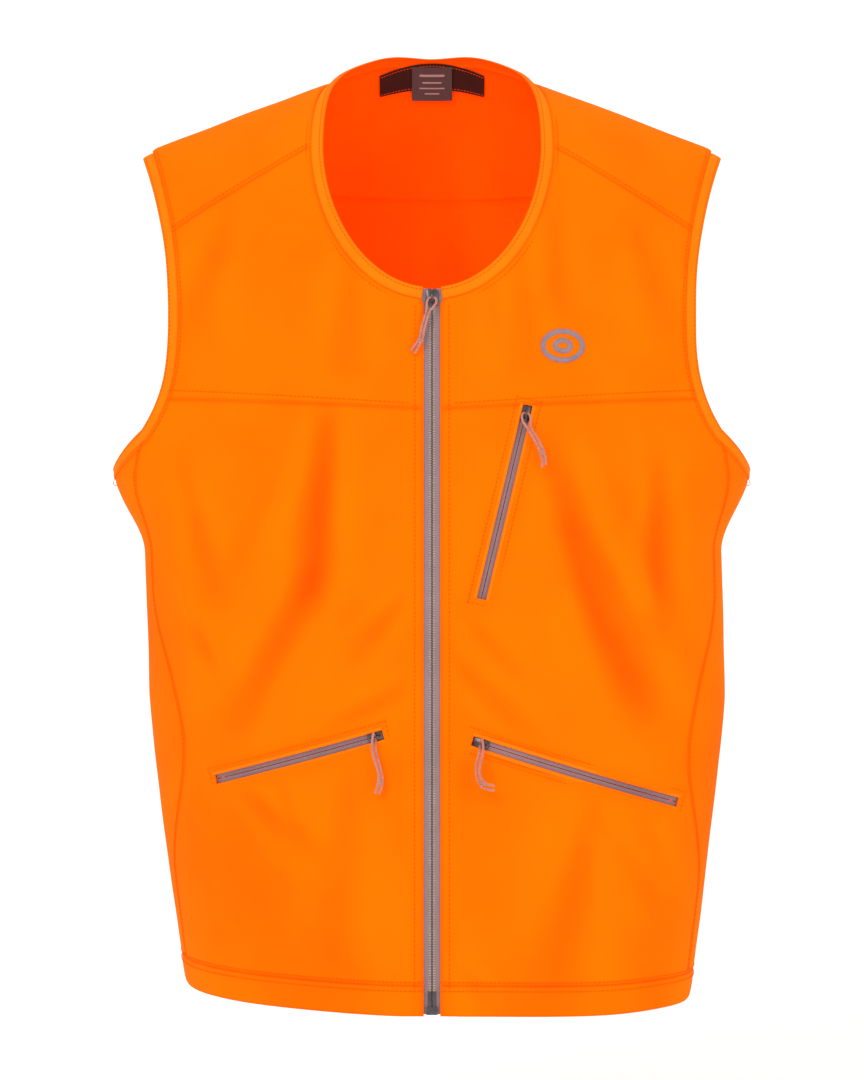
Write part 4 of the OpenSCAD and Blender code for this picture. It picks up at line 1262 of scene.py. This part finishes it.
@dataclass
class Seams:
    """All the visible stitching of the shell."""

    shell: Shell
    bands: Bands
    rows: Row
    pitch: float = 3.2
    stitch: tuple[float, float, float] = (2.6, 0.62, 0.5)
    proud: float = 0.75
    # Distances of the rows from a free edge, from a seam, and from the middle of the front zip
    edge_row: float = 2.2
    neck_row: float = 12.4
    arm_row: float = 12.2
    zip_row: float = 12.2
    seam_row: float = 3.0
    side_row: float = 1.2

    def _line(self, flat: Array, proud: float | None = None) -> tuple[Array, Array]:
        """Return a draped line of stitches on the outside of the cloth."""
        grid, out, _ = self.shell.draped(flat)
        return grid + out * (self.proud if proud is None else proud), out

    def build(self) -> None:
        """Lay the rows, a piece for each part of the vest."""
        shell, form = self.shell, self.shell.form
        a = np.linspace(shell.neck_start + 1, 359 - shell.neck_start, 360)
        neck = [self._line(form.neck_in(a, np.full_like(a, w))) for w in (self.edge_row, self.neck_row)]
        self._lay("neck_stitching", neck)
        for side, word in ((1, "left"), (-1, "right")):
            s = np.linspace(0.03, 3.97, 380)
            lines = [self._line(form.arm_in(s, np.full_like(s, w)) * np.array([side, 1, 1]))
                     for w in (self.edge_row, self.arm_row)]
            self._lay(f"armhole_{word}_stitching", lines)
            z = np.linspace(form.hem_z + 4, -form.neck_drop - 14, 260)
            beside = form.on_front(side * self.zip_row + 0 * z, z)
            self._lay(f"zip_{word}_stitching", [self._line(beside)])
            self._lay(f"seam_{word}_stitching", self._panel_lines(side))
        hem = [self._line(self.bands.hem_line([form.hem_seam_z + dz], 300)[0], p)
               for dz, p in ((-3.4, 1.35), (2.6, None))]
        self._lay("hem_stitching", hem)

    def _panel_lines(self, side: int) -> list[tuple[Array, Array]]:
        """Return the rows beside the chest, yoke and side seams of one half."""
        shell, form = self.shell, self.shell.form
        flip = np.array([side, 1, 1])
        u = np.linspace(0.02, 0.98, 90)
        yoke = shell.yoke_seam(u) * flip
        step = form.set_in(yoke, np.gradient(yoke, axis=0), np.full_like(u, -self.seam_row * side))
        arm = form.arm_in(form.arm_share(shell.chest_seam_z + shell.chest_rise), shell.panel_in)
        x = mix(shell.gap_x + 8.0, arm[0], u)
        chest = form.on_front(side * x, shell.chest_seam_z + self.seam_row + shell.chest_rise
                              * (x - shell.gap_x) / (arm[0] - shell.gap_x))
        z = np.linspace(form.hem_seam_z + 4, form.seam_top_z - 16, 200)
        edge = form.round_side(form.seam_step(0.0, z, 2 * self.side_row), z, side)
        return [self._line(step), self._line(chest), self._line(edge)]

    def _lay(self, name: str, lines: list[tuple[Array, Array]]) -> None:
        """Lay one piece of stitching."""
        self.rows.lay(name, lines, self.pitch, self.stitch, THREAD, "shell_fabric")


# ---------------------------------------------------------------- zips, sliders and pulls


@dataclass
class Zip:
    """One zip: its tapes, teeth, slider, and the cord that pulls it."""

    name: str
    line: ZipLine
    rows: Row
    bodies: tuple[str, str]
    slider_at: float
    slider_w: float
    tape_y: float
    tape_w: float
    knot_at: tuple
    cord_a: tuple
    cord_b: tuple
    tape_nodes: tuple[str, ...]
    teeth_nodes: tuple[str, ...]
    tape_span: tuple[float, float]
    teeth_span: tuple[float, float]
    reversed_coil: bool = True
    teeth_half_w: float = 3.0
    teeth_t: float = 2.2
    post_gap: float = 0.3
    slide_gap: float = 0.4
    plate_t: float = 1.0
    slider_len: float = 12.0
    cord_d: float = 1.8
    tape_t: float = 0.6
    coil_pitch: float = 1.75
    coil_wire: float = 1.15
    slot_half_w: float = 4.5
    slot_past: float = 0.6
    welt_gap: float = 0.2
    welt_r: float = 1.1
    welt_rise: float = 1.25
    welt_y: float = 0.3
    welt_t: float = 0.6
    welt_turn: float = 95.0
    row_away: float = 4.4
    row_past: float = 4.0
    row_y: float = -0.75

    @property
    def eye(self) -> Array:
        """The point under the slider's bridge that the cord goes through."""
        depth = self.tape_y - self.teeth_t / 2 - self.slide_gap - self.plate_t - self.cord_d / 2 - 0.3
        return self.line.at(self.slider_at, 0.0, depth)

    def cords(self) -> None:
        """Make the two strands of the pull and the knot that joins them."""
        knot = self._knot()
        for word, route in (("a", self.cord_a), ("b", self.cord_b)):
            path = (self.eye + np.array(route)) * MM
            data = bpy.data.curves.new(f"{self.name}_cord_{word}", "CURVE")
            data.dimensions = "3D"
            data.bevel_depth = self.cord_d / 2 * MM
            data.bevel_resolution = 3
            data.resolution_u = 6
            data.use_fill_caps = True
            spline = data.splines.new("BEZIER")
            spline.bezier_points.add(len(path) - 1)
            for point, here in zip(spline.bezier_points, path):
                point.co = here
                point.handle_left_type = "AUTO"
                point.handle_right_type = "AUTO"
            data.materials.append(CORD.build())
            strand = placed(data.name, data)
            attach(strand, self.bodies[1])
            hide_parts(f"{self.name}_cord")

    def _knot(self) -> bpy.types.Object:
        """Make an overhand knot of the same cord."""
        t = np.linspace(0, 2 * np.pi, 72, endpoint=False)
        loop = np.stack([np.sin(t) + 2 * np.sin(2 * t), -1.35 * np.sin(3 * t),
                         np.cos(t) - 2 * np.cos(2 * t)], axis=-1)
        verts, faces = tube(self.eye + np.array(self.knot_at) + 0.58 * loop, self.cord_d * 0.5, 10, True)
        knot = new_object(f"{self.name}_pull_knot", verts, faces, [CORD])
        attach(knot, self.bodies[1])
        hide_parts(f"{self.name}_knot")
        return knot

    def tapes(self) -> None:
        """Make the woven tapes."""
        mm = np.linspace(self.tape_span[0], self.tape_span[1], 120)[None, :]
        for side, node in zip((-1, 1), self.tape_nodes):
            h = side * np.linspace(self.post_gap, self.tape_w, 11)[:, None]
            depth = self.tape_y - (self.teeth_t / 2 + 0.2 if self.reversed_coil else 0.0)
            grid = self.line.at(mm, h, depth)
            out = self.line.out(mm) + 0 * grid
            word = "right" if side < 0 else "left"
            thick = self.tape_t / 2 if self.reversed_coil else self.tape_t
            piece = Cloth(f"{self.name}_tape_{word}_woven", grid, out, thick, TAPE,
                          slot="zip_tape").build()
            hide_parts(node)

    def teeth(self) -> None:
        """Make the two rows of the coil."""
        mm = np.linspace(self.teeth_span[0], self.teeth_span[1], 200)
        reach = (self.post_gap + self.teeth_half_w) / 2
        lines = []
        for side in (-1, 1):
            start = mm + (self.coil_pitch / 2 if side > 0 else 0.0)
            lines.append((self.line.at(np.minimum(start, self.teeth_span[1]), side * reach,
                                       self.tape_y), self.line.out(mm)))
        wire = (self.coil_wire, self.teeth_half_w - self.post_gap, self.teeth_t)
        piece = self.rows.lay(f"{self.name}_coil", lines, self.coil_pitch, wire, COIL, "zip_teeth")
        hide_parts(*self.teeth_nodes)

    def welt(self) -> None:
        """Make the folded edges of the slot, and the row of stitches round it."""
        lip = self.slot_half_w + self.welt_gap
        mm = np.linspace(-self.slot_past, self.line.length + self.slot_past, 110)[None, :]
        angle = np.radians(np.linspace(-self.welt_turn, self.welt_turn, 11))[:, None]
        for side, word in ((-1, "low"), (1, "high")):
            h = side * (lip + self.welt_r * np.sin(angle)) + 0 * mm
            depth = self.welt_y - self.welt_rise * np.cos(angle) + 0 * mm
            grid = self.line.at(mm, h, depth)
            axis = self.line.at(mm + 0 * h, side * lip, self.welt_y + 0.1)
            Cloth(f"{self.name}_welt_{word}", grid, grid - axis, self.welt_t, BINDING).build()
        away = self.slot_half_w + self.row_away
        ends = (-self.row_past, self.line.length + self.row_past)
        mm = np.linspace(*ends, 120)
        rows = [(self.line.at(mm, side * away, self.row_y), self.line.out(mm)) for side in (-1, 1)]
        across = np.linspace(-away, away, 12)
        for at in ends:
            here = np.full_like(across, at)
            rows.append((self.line.at(here, across, self.row_y), self.line.out(here)))
        self.rows.lay(f"{self.name}_slot_stitching", rows, 3.0, (2.4, 0.6, 0.5), THREAD, "shell_fabric")

    def slider(self) -> None:
        """Make the slider: two shaped plates, a post and an arched bridge."""
        work = bmesh.new()
        half, long = self.slider_w / 2, self.slider_len / 2
        outline = []
        # The shoulders at the top are broad, and the tail narrows to a rounder end
        for z_sign, x_in, corner in ((1, 0.86, 1.6), (-1, 0.66, 2.6)):
            flat_x = max(0.5, half * x_in - corner * 0.8)
            arc = [(flat_x + (half - flat_x) * math.cos(t),
                    z_sign * (long - corner + corner * math.sin(t)))
                   for t in np.radians(np.linspace(0, 90, 6))]
            mirrored = [(-x, z) for x, z in arc]
            outline += arc + mirrored[::-1] if z_sign > 0 else mirrored + arc[::-1]
        front = self.tape_y - self.teeth_t / 2 - self.slide_gap
        back = self.tape_y + self.teeth_t / 2 + self.slide_gap
        for y0, y1 in ((front - self.plate_t, front), (back, back + self.plate_t)):
            self._plate(work, outline, y0, y1)
        self._box(work, (-0.25, 0.25), (front - 0.2, back + 0.2), (long - 2.5, long - 0.5))
        rise = self.cord_d + 0.8
        top = front - self.plate_t
        t = np.radians(np.linspace(0, 180, 17))
        arch = np.stack([0 * t, top + 0.35 - (rise + 0.95) * np.sin(t) ** 0.55, (long - 2.4) * np.cos(t)],
                        axis=-1)
        verts, faces = tube(arch, 0.6, 8)
        made = [work.verts.new(v) for v in verts]
        for face in faces:
            work.faces.new([made[k] for k in face])
        bmesh.ops.recalc_face_normals(work, faces=work.faces)
        bmesh.ops.transform(work, matrix=self.line.axes(self.slider_at), verts=work.verts)
        bmesh.ops.recalc_face_normals(work, faces=work.faces)
        bmesh.ops.scale(work, vec=(MM, MM, MM), verts=work.verts)
        mesh = bpy.data.meshes.new(f"{self.name}_slider_cast")
        work.to_mesh(mesh)
        work.free()
        mesh.materials.append(GUNMETAL.build())
        mesh.polygons.foreach_set("use_smooth", [True] * len(mesh.polygons))
        mesh.set_sharp_from_angle(angle=math.radians(38))
        piece = placed(mesh.name, mesh)
        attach(piece, self.bodies[0])
        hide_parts(f"{self.name}_slider")

    @staticmethod
    def _plate(work: bmesh.types.BMesh, outline: list, y0: float, y1: float) -> None:
        """Add a plate with softened edges to the slider."""
        rings = []
        for y, inset in ((y0, 0.25), (y0 + 0.12, 0.08), (y0 + 0.28, 0.0), (y1 - 0.28, 0.0),
                         (y1 - 0.12, 0.08), (y1, 0.25)):
            ring = []
            for x, z in outline:
                scale = 1 - inset / math.hypot(x, z)
                ring.append(work.verts.new((x * scale, y, z * scale)))
            rings.append(ring)
        n = len(outline)
        for low, high in zip(rings, rings[1:]):
            for k in range(n):
                work.faces.new([low[k], low[(k + 1) % n], high[(k + 1) % n], high[k]])
        work.faces.new(rings[0][::-1])
        work.faces.new(rings[-1])

    @staticmethod
    def _box(work: bmesh.types.BMesh, xs: tuple, ys: tuple, zs: tuple) -> None:
        """Add the post between the plates."""
        made = bmesh.ops.create_cube(work, size=1.0)["verts"]
        for vert in made:
            for axis, (low, high) in enumerate((xs, ys, zs)):
                vert.co[axis] = low if vert.co[axis] < 0 else high

    def build(self) -> None:
        """Make all that is left of the zip once its cords are made."""
        self.tapes()
        self.teeth()
        self.slider()
        if self.reversed_coil:
            self.welt()


# ---------------------------------------------------------------- trims


@dataclass
class Trims:
    """The neck tape, the size label, the badge, the wind flap and the pocket bags."""

    shell: Shell
    front: ZipLine
    lines: VestLines
    rows: Row
    tape_half_w: float = 42.0
    tape_z: tuple[float, float] = (15.0, 33.0)
    tape_dip: float = 8.0
    tape_fan: float = 4.0
    label_half_w: float = 16.5
    label_top: float = 31.0
    label_h: float = 24.0
    badge_at: tuple[float, float] = (93.5, -204.0)
    badge_size: tuple[float, float] = (34.0, 26.0)
    flap_x: tuple[float, float] = (-14.0, 18.0)
    flap_y: float = 6.0
    flap_start: float = 14.0
    flap_short: float = 5.0
    chest_bag_x: tuple[float, float] = (26.0, 140.0)
    chest_bag_z: tuple[float, float] = (-420.0, -240.0)
    bag_in: float = -10.0
    bag_drop: float = 110.0
    bag_rise: float = 8.0

    def _inside(self, name: str, node: str, flat: Array, offset: float, finish: Finish, t: float,
                slot: str) -> bpy.types.Object:
        """Build a flat trim that lies inside or outside the shell."""
        grid, out, _ = self.shell.draped(flat)
        piece = Cloth(name, grid + out * offset, out, t, finish, slot=slot, edge_drop=0.2,
                      edge_soft=0.6).build()
        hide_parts(node)
        return piece

    def _on_tape(self, u: Array, v: Array) -> Array:
        """Return points of the neck tape, u from -1 to 1 along it and v from 0 to 1 up it."""
        z = mix(*self.tape_z, v) - (self.tape_dip + self.tape_fan * v) * u * u
        return self.shell.form.on_back(u * self.tape_half_w + 0 * v, z)

    def neck_tape(self) -> None:
        """Build the tape across the inside of the nape, and its stitches."""
        flat = self._on_tape(np.linspace(-1, 1, 60)[:, None], np.linspace(0, 1, 12)[None, :])
        self._inside("neck_tape_cotton", "neck_tape", flat, -1.8, NECK_TAPE, 0.8,
                                   "neck_tape")
        lines = []
        for edge in (0.08, 0.92):
            grid, out, _ = self.shell.draped(self._on_tape(np.linspace(-0.97, 0.97, 60), edge))
            lines.append((grid - out * 2.35, -out))
        self.rows.lay("neck_tape_stitching", lines, 2.6, (2.0, 0.5, 0.4), THREAD, "neck_tape")

    def label(self) -> None:
        """Build the size label and its woven bars, which stand for no real mark."""
        form = self.shell.form
        u = np.linspace(-1, 1, 24)[:, None]
        v = np.linspace(0, 1, 18)[None, :]
        z = self.label_top - self.label_h * (1 - v)
        flat = form.on_back(u * self.label_half_w + 0 * v, z + 0 * u)
        self._inside("size_label_damask", "size_label", flat, -3.0, LABEL, 0.7, "label")
        for row, (wide, tall, at) in enumerate(((0.62, 1.5, 0.76), (0.48, 1.0, 0.55),
                                                (0.62, 0.9, 0.38), (0.36, 0.9, 0.22))):
            z_bar = self.label_top - self.label_h * (1 - at)
            bar = form.on_back(u * self.label_half_w * wide + 0 * v[:, :4],
                               z_bar + np.linspace(-tall / 2, tall / 2, 4)[None, :] + 0 * u)
            grid, out, _ = self.shell.draped(bar)
            Cloth(f"label_bar_{row + 1}", grid - out * 3.45, out, 0.24, LABEL_YARN, slot="label").build()

    def badge(self) -> None:
        """Build the oval badge: a cloth patch and a ring of satin stitches round it."""
        form = self.shell.form
        u = np.linspace(-1, 1, 25)[:, None]
        v = np.linspace(-1, 1, 25)[None, :]
        half_w, half_h = self.badge_size[0] / 2, self.badge_size[1] / 2
        flat = form.on_front(self.badge_at[0] + half_w * 0.86 * u * np.sqrt(1 - v * v / 2),
                             self.badge_at[1] + half_h * 0.82 * v * np.sqrt(1 - u * u / 2))
        grid, out, fold_shade = self.shell.draped(flat)
        patch = Cloth("badge_ground", grid + out * 0.75, out, 0.5, SOFTSHELL, fold_shade=fold_shade).build()
        a = np.linspace(0, 2 * np.pi, 200)
        lines = []
        for share, tall in ((0.84, 0.8), (0.34, 0.3)):
            ring = form.on_front(self.badge_at[0] + half_w * share * np.cos(a),
                                 self.badge_at[1] + half_h * tall * np.sin(a))
            ring, way, _ = self.shell.draped(ring)
            lines.append((ring + way * 1.25, way))
        stitches = self.rows.lay("badge_satin_ring", lines, 0.62, (4.6, 0.75, 0.7), RAYON,
                                 "badge_thread", turn=82.0)
        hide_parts("chest_badge")
        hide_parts("chest_badge")

    def flap(self) -> None:
        """Build the wind flap behind the front zip."""
        h = np.linspace(*self.flap_x, 14)[:, None]
        mm = np.linspace(self.flap_start, self.front.length - self.flap_short, 160)[None, :]
        grid = self.front.at(mm, h, self.flap_y + 0.25 * np.sin(mm / 17.0) * np.cos(h / 12.0))
        piece = Cloth("wind_flap_cloth", grid, self.front.out(mm) + 0 * grid, self.shell.fabric_t,
                      FLAP).build()
        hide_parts("wind_flap")

    def bags(self) -> None:
        """Build the three pocket bags behind the front."""
        form = self.shell.form
        u = np.linspace(0, 1, 50)[:, None]
        v = np.linspace(0, 1, 44)[None, :]
        cuts = {"chest_pocket_bag": (mix(*self.chest_bag_x, u), mix(*self.chest_bag_z, v) + 0 * u)}
        for word, ends in (("left", self.lines.hand_left), ("right", self.lines.hand_right)):
            x = mix(ends[0][0], ends[1][0], u)
            z = mix(ends[0][1], ends[1][1], u) + mix(-self.bag_drop, self.bag_rise, v)
            cuts[f"hand_{word}_bag"] = (x, z)
        for node, (x, z) in cuts.items():
            flat = form.on_front(x + 0 * v, z)
            out = form.outward(flat)
            sag = self.bag_in + 0.7 * np.sin(x / 9.0 + z / 21.0) * np.sin(np.pi * v)
            piece = Cloth(f"{node}_knit", flat + out * sag[..., None], out, 1.4, POCKETING,
                          slot="pocket_mesh", edge_drop=-0.5, edge_soft=2.0).build()
            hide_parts(node)

    def build(self) -> None:
        """Build every trim."""
        self.neck_tape()
        self.label()
        self.badge()
        self.flap()
        self.bags()


# ---------------------------------------------------------------- studio


@dataclass(frozen=True)
class Studio:
    """The camera, the pale floor and backdrop, and the soft light."""

    distance: float = 2.0
    eye_z: float = -0.343
    lens: float = 87.7
    floor_z: float = -0.86
    wall_y: float = 1.6
    wall_top: float = 4.0
    corner_r: float = 0.7
    half_width: float = 5.0
    front_y: float = -4.0
    aim_z: float = -0.3
    room_light: float = 0.6

    def camera(self) -> None:
        """Place the camera level with the middle of the vest, looking at its front."""
        data = bpy.data.cameras.new("studio_camera")
        data.sensor_fit = "VERTICAL"
        data.sensor_height = 36.0
        data.lens = self.lens
        camera = placed("studio_camera", data)
        camera.location = (0.0, -self.distance, self.eye_z)
        camera.rotation_euler = (math.pi / 2, 0.0, 0.0)
        bpy.context.scene.camera = camera

    def clear_from_behind(self, board: bpy.types.Material) -> bpy.types.Material:
        """Make the backs of the faces clear, so that a camera past the wall still sees the vest.

        Args:
            board: The backdrop's material.

        Returns:
            The same material.
        """
        tree = board.node_tree
        side = add(tree, "ShaderNodeNewGeometry")
        clear = add(tree, "ShaderNodeBsdfTransparent")
        both = add(tree, "ShaderNodeMixShader", {},
                   {0: side.outputs["Backfacing"], 1: tree.nodes["Principled BSDF"].outputs["BSDF"],
                    2: clear.outputs["BSDF"]})
        tree.links.new(both.outputs[0], tree.nodes["Material Output"].inputs["Surface"])
        return board

    def backdrop(self) -> None:
        """Make one curved sheet that is floor and wall."""
        turn = np.linspace(0, math.pi / 2, 14)
        corner_y = self.wall_y - self.corner_r
        profile = [(self.front_y, self.floor_z), (corner_y, self.floor_z)]
        profile += [(corner_y + self.corner_r * math.sin(a),
                     self.floor_z + self.corner_r * (1 - math.cos(a))) for a in turn[1:]]
        profile += [(self.wall_y, self.wall_top)]
        n = len(profile)
        verts = [(x, y, z) for x in (-self.half_width, self.half_width) for y, z in profile]
        faces = [[k, n + k, n + k + 1, k + 1] for k in range(n - 1)]
        mesh = bpy.data.meshes.new("studio_sweep")
        mesh.from_pydata(verts, [], faces)
        mesh.materials.append(self.clear_from_behind(BOARD.build()))
        mesh.polygons.foreach_set("use_smooth", [True] * len(mesh.polygons))
        placed("studio_sweep", mesh)

    def light(self) -> None:
        """Add the soft boxes and the even light of the room."""
        world = bpy.data.worlds.new("studio_room")
        world.use_nodes = True
        room = world.node_tree.nodes["Background"]
        room.inputs["Color"].default_value = linear("#ffffff")
        room.inputs["Strength"].default_value = self.room_light
        bpy.context.scene.world = world
        for name, place, size, power in (("key", (-1.1, -2.1, 1.3), 1.3, 24.0),
                                         ("fill", (1.7, -1.9, 0.1), 1.5, 9.0),
                                         ("top", (0.2, 0.3, 2.1), 1.4, 12.0)):
            data = bpy.data.lights.new(name, "AREA")
            data.size = size
            data.energy = power
            lamp = placed(name, data)
            lamp.location = place
            aim = Vector((0.0, 0.0, self.aim_z)) - Vector(place)
            lamp.rotation_euler = aim.to_track_quat("-Z", "Y").to_euler()
        bpy.context.scene.view_settings.view_transform = "Standard"


FRONT_CORD_A = ((-0.2, 0, 0), (-2, 0, -0.4), (-3.4, -0.6, -2.6), (-3.6, -1.4, -6), (-4, -2, -10),
                (-5.8, -2.5, -16), (-7.6, -2.9, -22.5), (-9, -3.2, -29.5), (-12, -3.2, -34),
                (-15, -3.2, -38))
FRONT_CORD_B = ((0.2, 0, 0), (2, 0, -0.4), (3, -0.8, -3), (1.2, -2.2, -6.4), (-1.8, -2.7, -10.4),
                (-3.6, -3, -16), (-5.4, -3.2, -22.5), (-6.8, -3.4, -29.5), (-10, -3.4, -36),
                (-12.6, -3.4, -40))
CHEST_CORD_A = ((-0.2, 0, 0), (-1.8, -0.2, 0.2), (-2.9, -1.6, -2), (-2.4, -3.6, -5.6),
                (-0.4, -5.2, -9), (2.4, -6.4, -13.4), (5.4, -7.2, -18.6), (8.6, -7.8, -24.6),
                (11, -8.2, -32), (11.2, -8.4, -38.5))
CHEST_CORD_B = ((0.2, 0, 0), (2, 0, -0.6), (3, -1.2, -2.8), (3.2, -3.2, -5.8), (3, -4.8, -9.4),
                (4.8, -6, -13), (7.8, -7, -18), (10.9, -7.8, -24), (13.4, -8.2, -32),
                (13.8, -8.4, -37))
RIGHT_CORD_A = ((0, 0, -0.2), (0.6, -0.4, -1.8), (0.5, -2.4, -3.4), (0.3, -4.6, -5.4),
                (0.9, -6.2, -9.6), (2.4, -7.6, -15), (3.9, -8.6, -21), (5.4, -9.2, -27.5),
                (5, -9.6, -34), (3, -9.8, -39.5))
RIGHT_CORD_B = ((0, 0, 0.2), (-0.6, -0.2, 1.9), (-1, -2, 3), (-1.2, -4.3, 2), (-1.6, -6, -1.4),
                (-1.8, -7.2, -6), (-1.3, -8.2, -11), (0.2, -9.2, -16), (3, -9.8, -27),
                (0.6, -10, -39))
LEFT_CORD_A = ((0, 0, -0.2), (-0.6, -0.4, -1.8), (-0.6, -3, -3.2), (-0.8, -5.6, -4.8),
               (-1.8, -7.4, -8.8), (-3, -9, -14.4), (-3.3, -10.4, -20.2), (-1.4, -11.4, -26.4),
               (3.6, -12, -31), (9.6, -12.2, -32))
LEFT_CORD_B = ((0, 0, 0.2), (0.6, -0.2, 1.9), (1, -2, 3), (1.2, -4.3, 2), (1.6, -6.4, -1.2),
               (1.4, -8.2, -6), (0.4, -9.6, -11), (-0.8, -10.8, -15.8), (-0.8, -11.8, -20.4),
               (1.8, -12.4, -26), (9.4, -12.6, -29))

FOLDS = (
    # The two long hollows below the arms, which run down and outward to the hand pockets
    Fold((-75, -262), (-88, -380), 10, -6.5),
    Fold((-88, -372), (-142, -476), 13, -6.0),
    Fold((-100, -300), (-128, -372), 8, 2.4),
    Fold((92, -300), (150, -458), 12, -6.5, bow=-6),
    Fold((120, -350), (158, -416), 8, -3.6),
    Fold((164, -296), (166, -404), 9, -4.5),
    Fold((112, -290), (170, -440), 9, 2.2),
    # Short pulls beside the zip
    Fold((14, -426), (68, -480), 7, -2.6),
    Fold((16, -384), (58, -436), 6, -2.0),
    Fold((-20, -384), (-54, -424), 6, -2.4),
    Fold((-20, -448), (-74, -480), 7, -2.8),
    Fold((14, -640), (36, -666), 5, -1.4),
    # Upright folds of the chest
    Fold((65, -148), (66, -218), 9, -2.6),
    Fold((88, -110), (90, -174), 8, -2.2),
    Fold((45, -163), (46, -203), 6, -1.7),
    Fold((-58, -140), (-62, -220), 9, -2.0),
    Fold((-150, -110), (-176, -190), 10, -2.2),
    Fold((150, -120), (172, -190), 10, -2.0),
    # Below the hand pockets
    Fold((114, -526), (90, -644), 12, -3.6),
    Fold((-136, -524), (-96, -560), 7, -2.6),
    Fold((-110, -520), (-84, -566), 6, -1.8),
    Fold((120, -540), (158, -600), 8, -2.8),
    Fold((146, -534), (164, -580), 6, -2.0),
    Fold((-60, -520), (-70, -640), 13, -2.4),
    Fold((-172, -410), (-152, -446), 7, -3.6),
    Fold((-178, -300), (-160, -380), 8, -3.0),
    # The back: slack between the shoulder blades, and above the hem
    Fold((10, -60), (30, -190), 12, -2.4, front=False),
    Fold((-90, -120), (-30, -330), 16, -3.2, front=False),
    Fold((100, -140), (60, -360), 16, -3.0, front=False),
    Fold((-150, -330), (-80, -470), 12, -3.4, front=False),
    Fold((150, -320), (90, -470), 12, -3.2, front=False),
    Fold((-60, -470), (50, -500), 10, -2.8, front=False),
    Fold((-110, -520), (-96, -650), 14, -2.8, front=False),
    Fold((96, -510), (106, -650), 14, -2.8, front=False),
)


def dress_metal() -> None:
    """Give the carried-over metal pieces their finish."""
    for node in ("front_top_stops", "front_retainer_box", "front_insertion_pin", "chest_end_stops",
                 "hand_left_end_stops", "hand_right_end_stops"):
        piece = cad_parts[node]
        piece.data.materials.clear()
        piece.data.materials.append(GUNMETAL.build())


def front_zip(line: ZipLine, rows: Row) -> Zip:
    """Return the front zip, which opens at its lower end."""
    box_h, pin_len, seat_gap = 5.5, 11.0, 0.3
    return Zip("front", line, rows, ("front_slider", "front_pull"), slider_at=8.0, slider_w=9.2,
               tape_y=1.5, tape_w=13.0, knot_at=(-8.2, -3.3, -31), cord_a=FRONT_CORD_A,
               cord_b=FRONT_CORD_B, tape_nodes=("front_tape_right", "front_tape_left"),
               teeth_nodes=("front_teeth_left", "front_teeth_right"),
               tape_span=(1.0, line.length - 0.4),
               teeth_span=(2.9, line.length - box_h - pin_len - seat_gap), reversed_coil=False)


def pocket_zip(name: str, line: ZipLine, rows: Row, knot_at: tuple, cord_a: tuple,
               cord_b: tuple) -> Zip:
    """Return a pocket's zip, whose coil faces inward and whose two tapes share one node."""
    return Zip(name, line, rows, (f"{name}_slider", f"{name}_pull"), slider_at=6.4, slider_w=8.0,
               tape_y=3.5, tape_w=8.0, knot_at=knot_at, cord_a=cord_a, cord_b=cord_b,
               tape_nodes=(f"{name}_tapes",) * 2, teeth_nodes=(f"{name}_teeth",),
               tape_span=(-2.0, line.length + 4), teeth_span=(1.6, line.length - 1.6))


def main() -> None:
    """Build the vest: the camera and cords first, then the shell, bands, trims and zips."""
    logging.basicConfig(level=logging.INFO, format="%(message)s")
    studio = Studio()
    studio.camera()
    form = BodyForm()
    lines = VestLines(form)
    rows = Row("bead_row")
    front, chest = lines.front(), lines.chest()
    left, right = lines.hand(lines.hand_left), lines.hand(lines.hand_right)
    zips = [
        front_zip(front, rows),
        pocket_zip("chest", chest, rows, (11.1, -8, -28.6), CHEST_CORD_A, CHEST_CORD_B),
        pocket_zip("hand_left", left, rows, (1.2, -12, -28), LEFT_CORD_A, LEFT_CORD_B),
        pocket_zip("hand_right", right, rows, (4.2, -9.6, -31), RIGHT_CORD_A, RIGHT_CORD_B),
    ]
    for one in zips:
        one.cords()
    drape = Drape(FOLDS, (chest, left, right))
    shell = Shell(form, drape, {"left": (chest, left), "right": (right,)})
    shell.build()
    bands = Bands(shell)
    bands.build()
    Seams(shell, bands, rows).build()
    for one in zips:
        one.build()
    Trims(shell, front, lines, rows).build()
    dress_metal()
    studio.backdrop()
    studio.light()


if __name__ == "__main__":
    main()
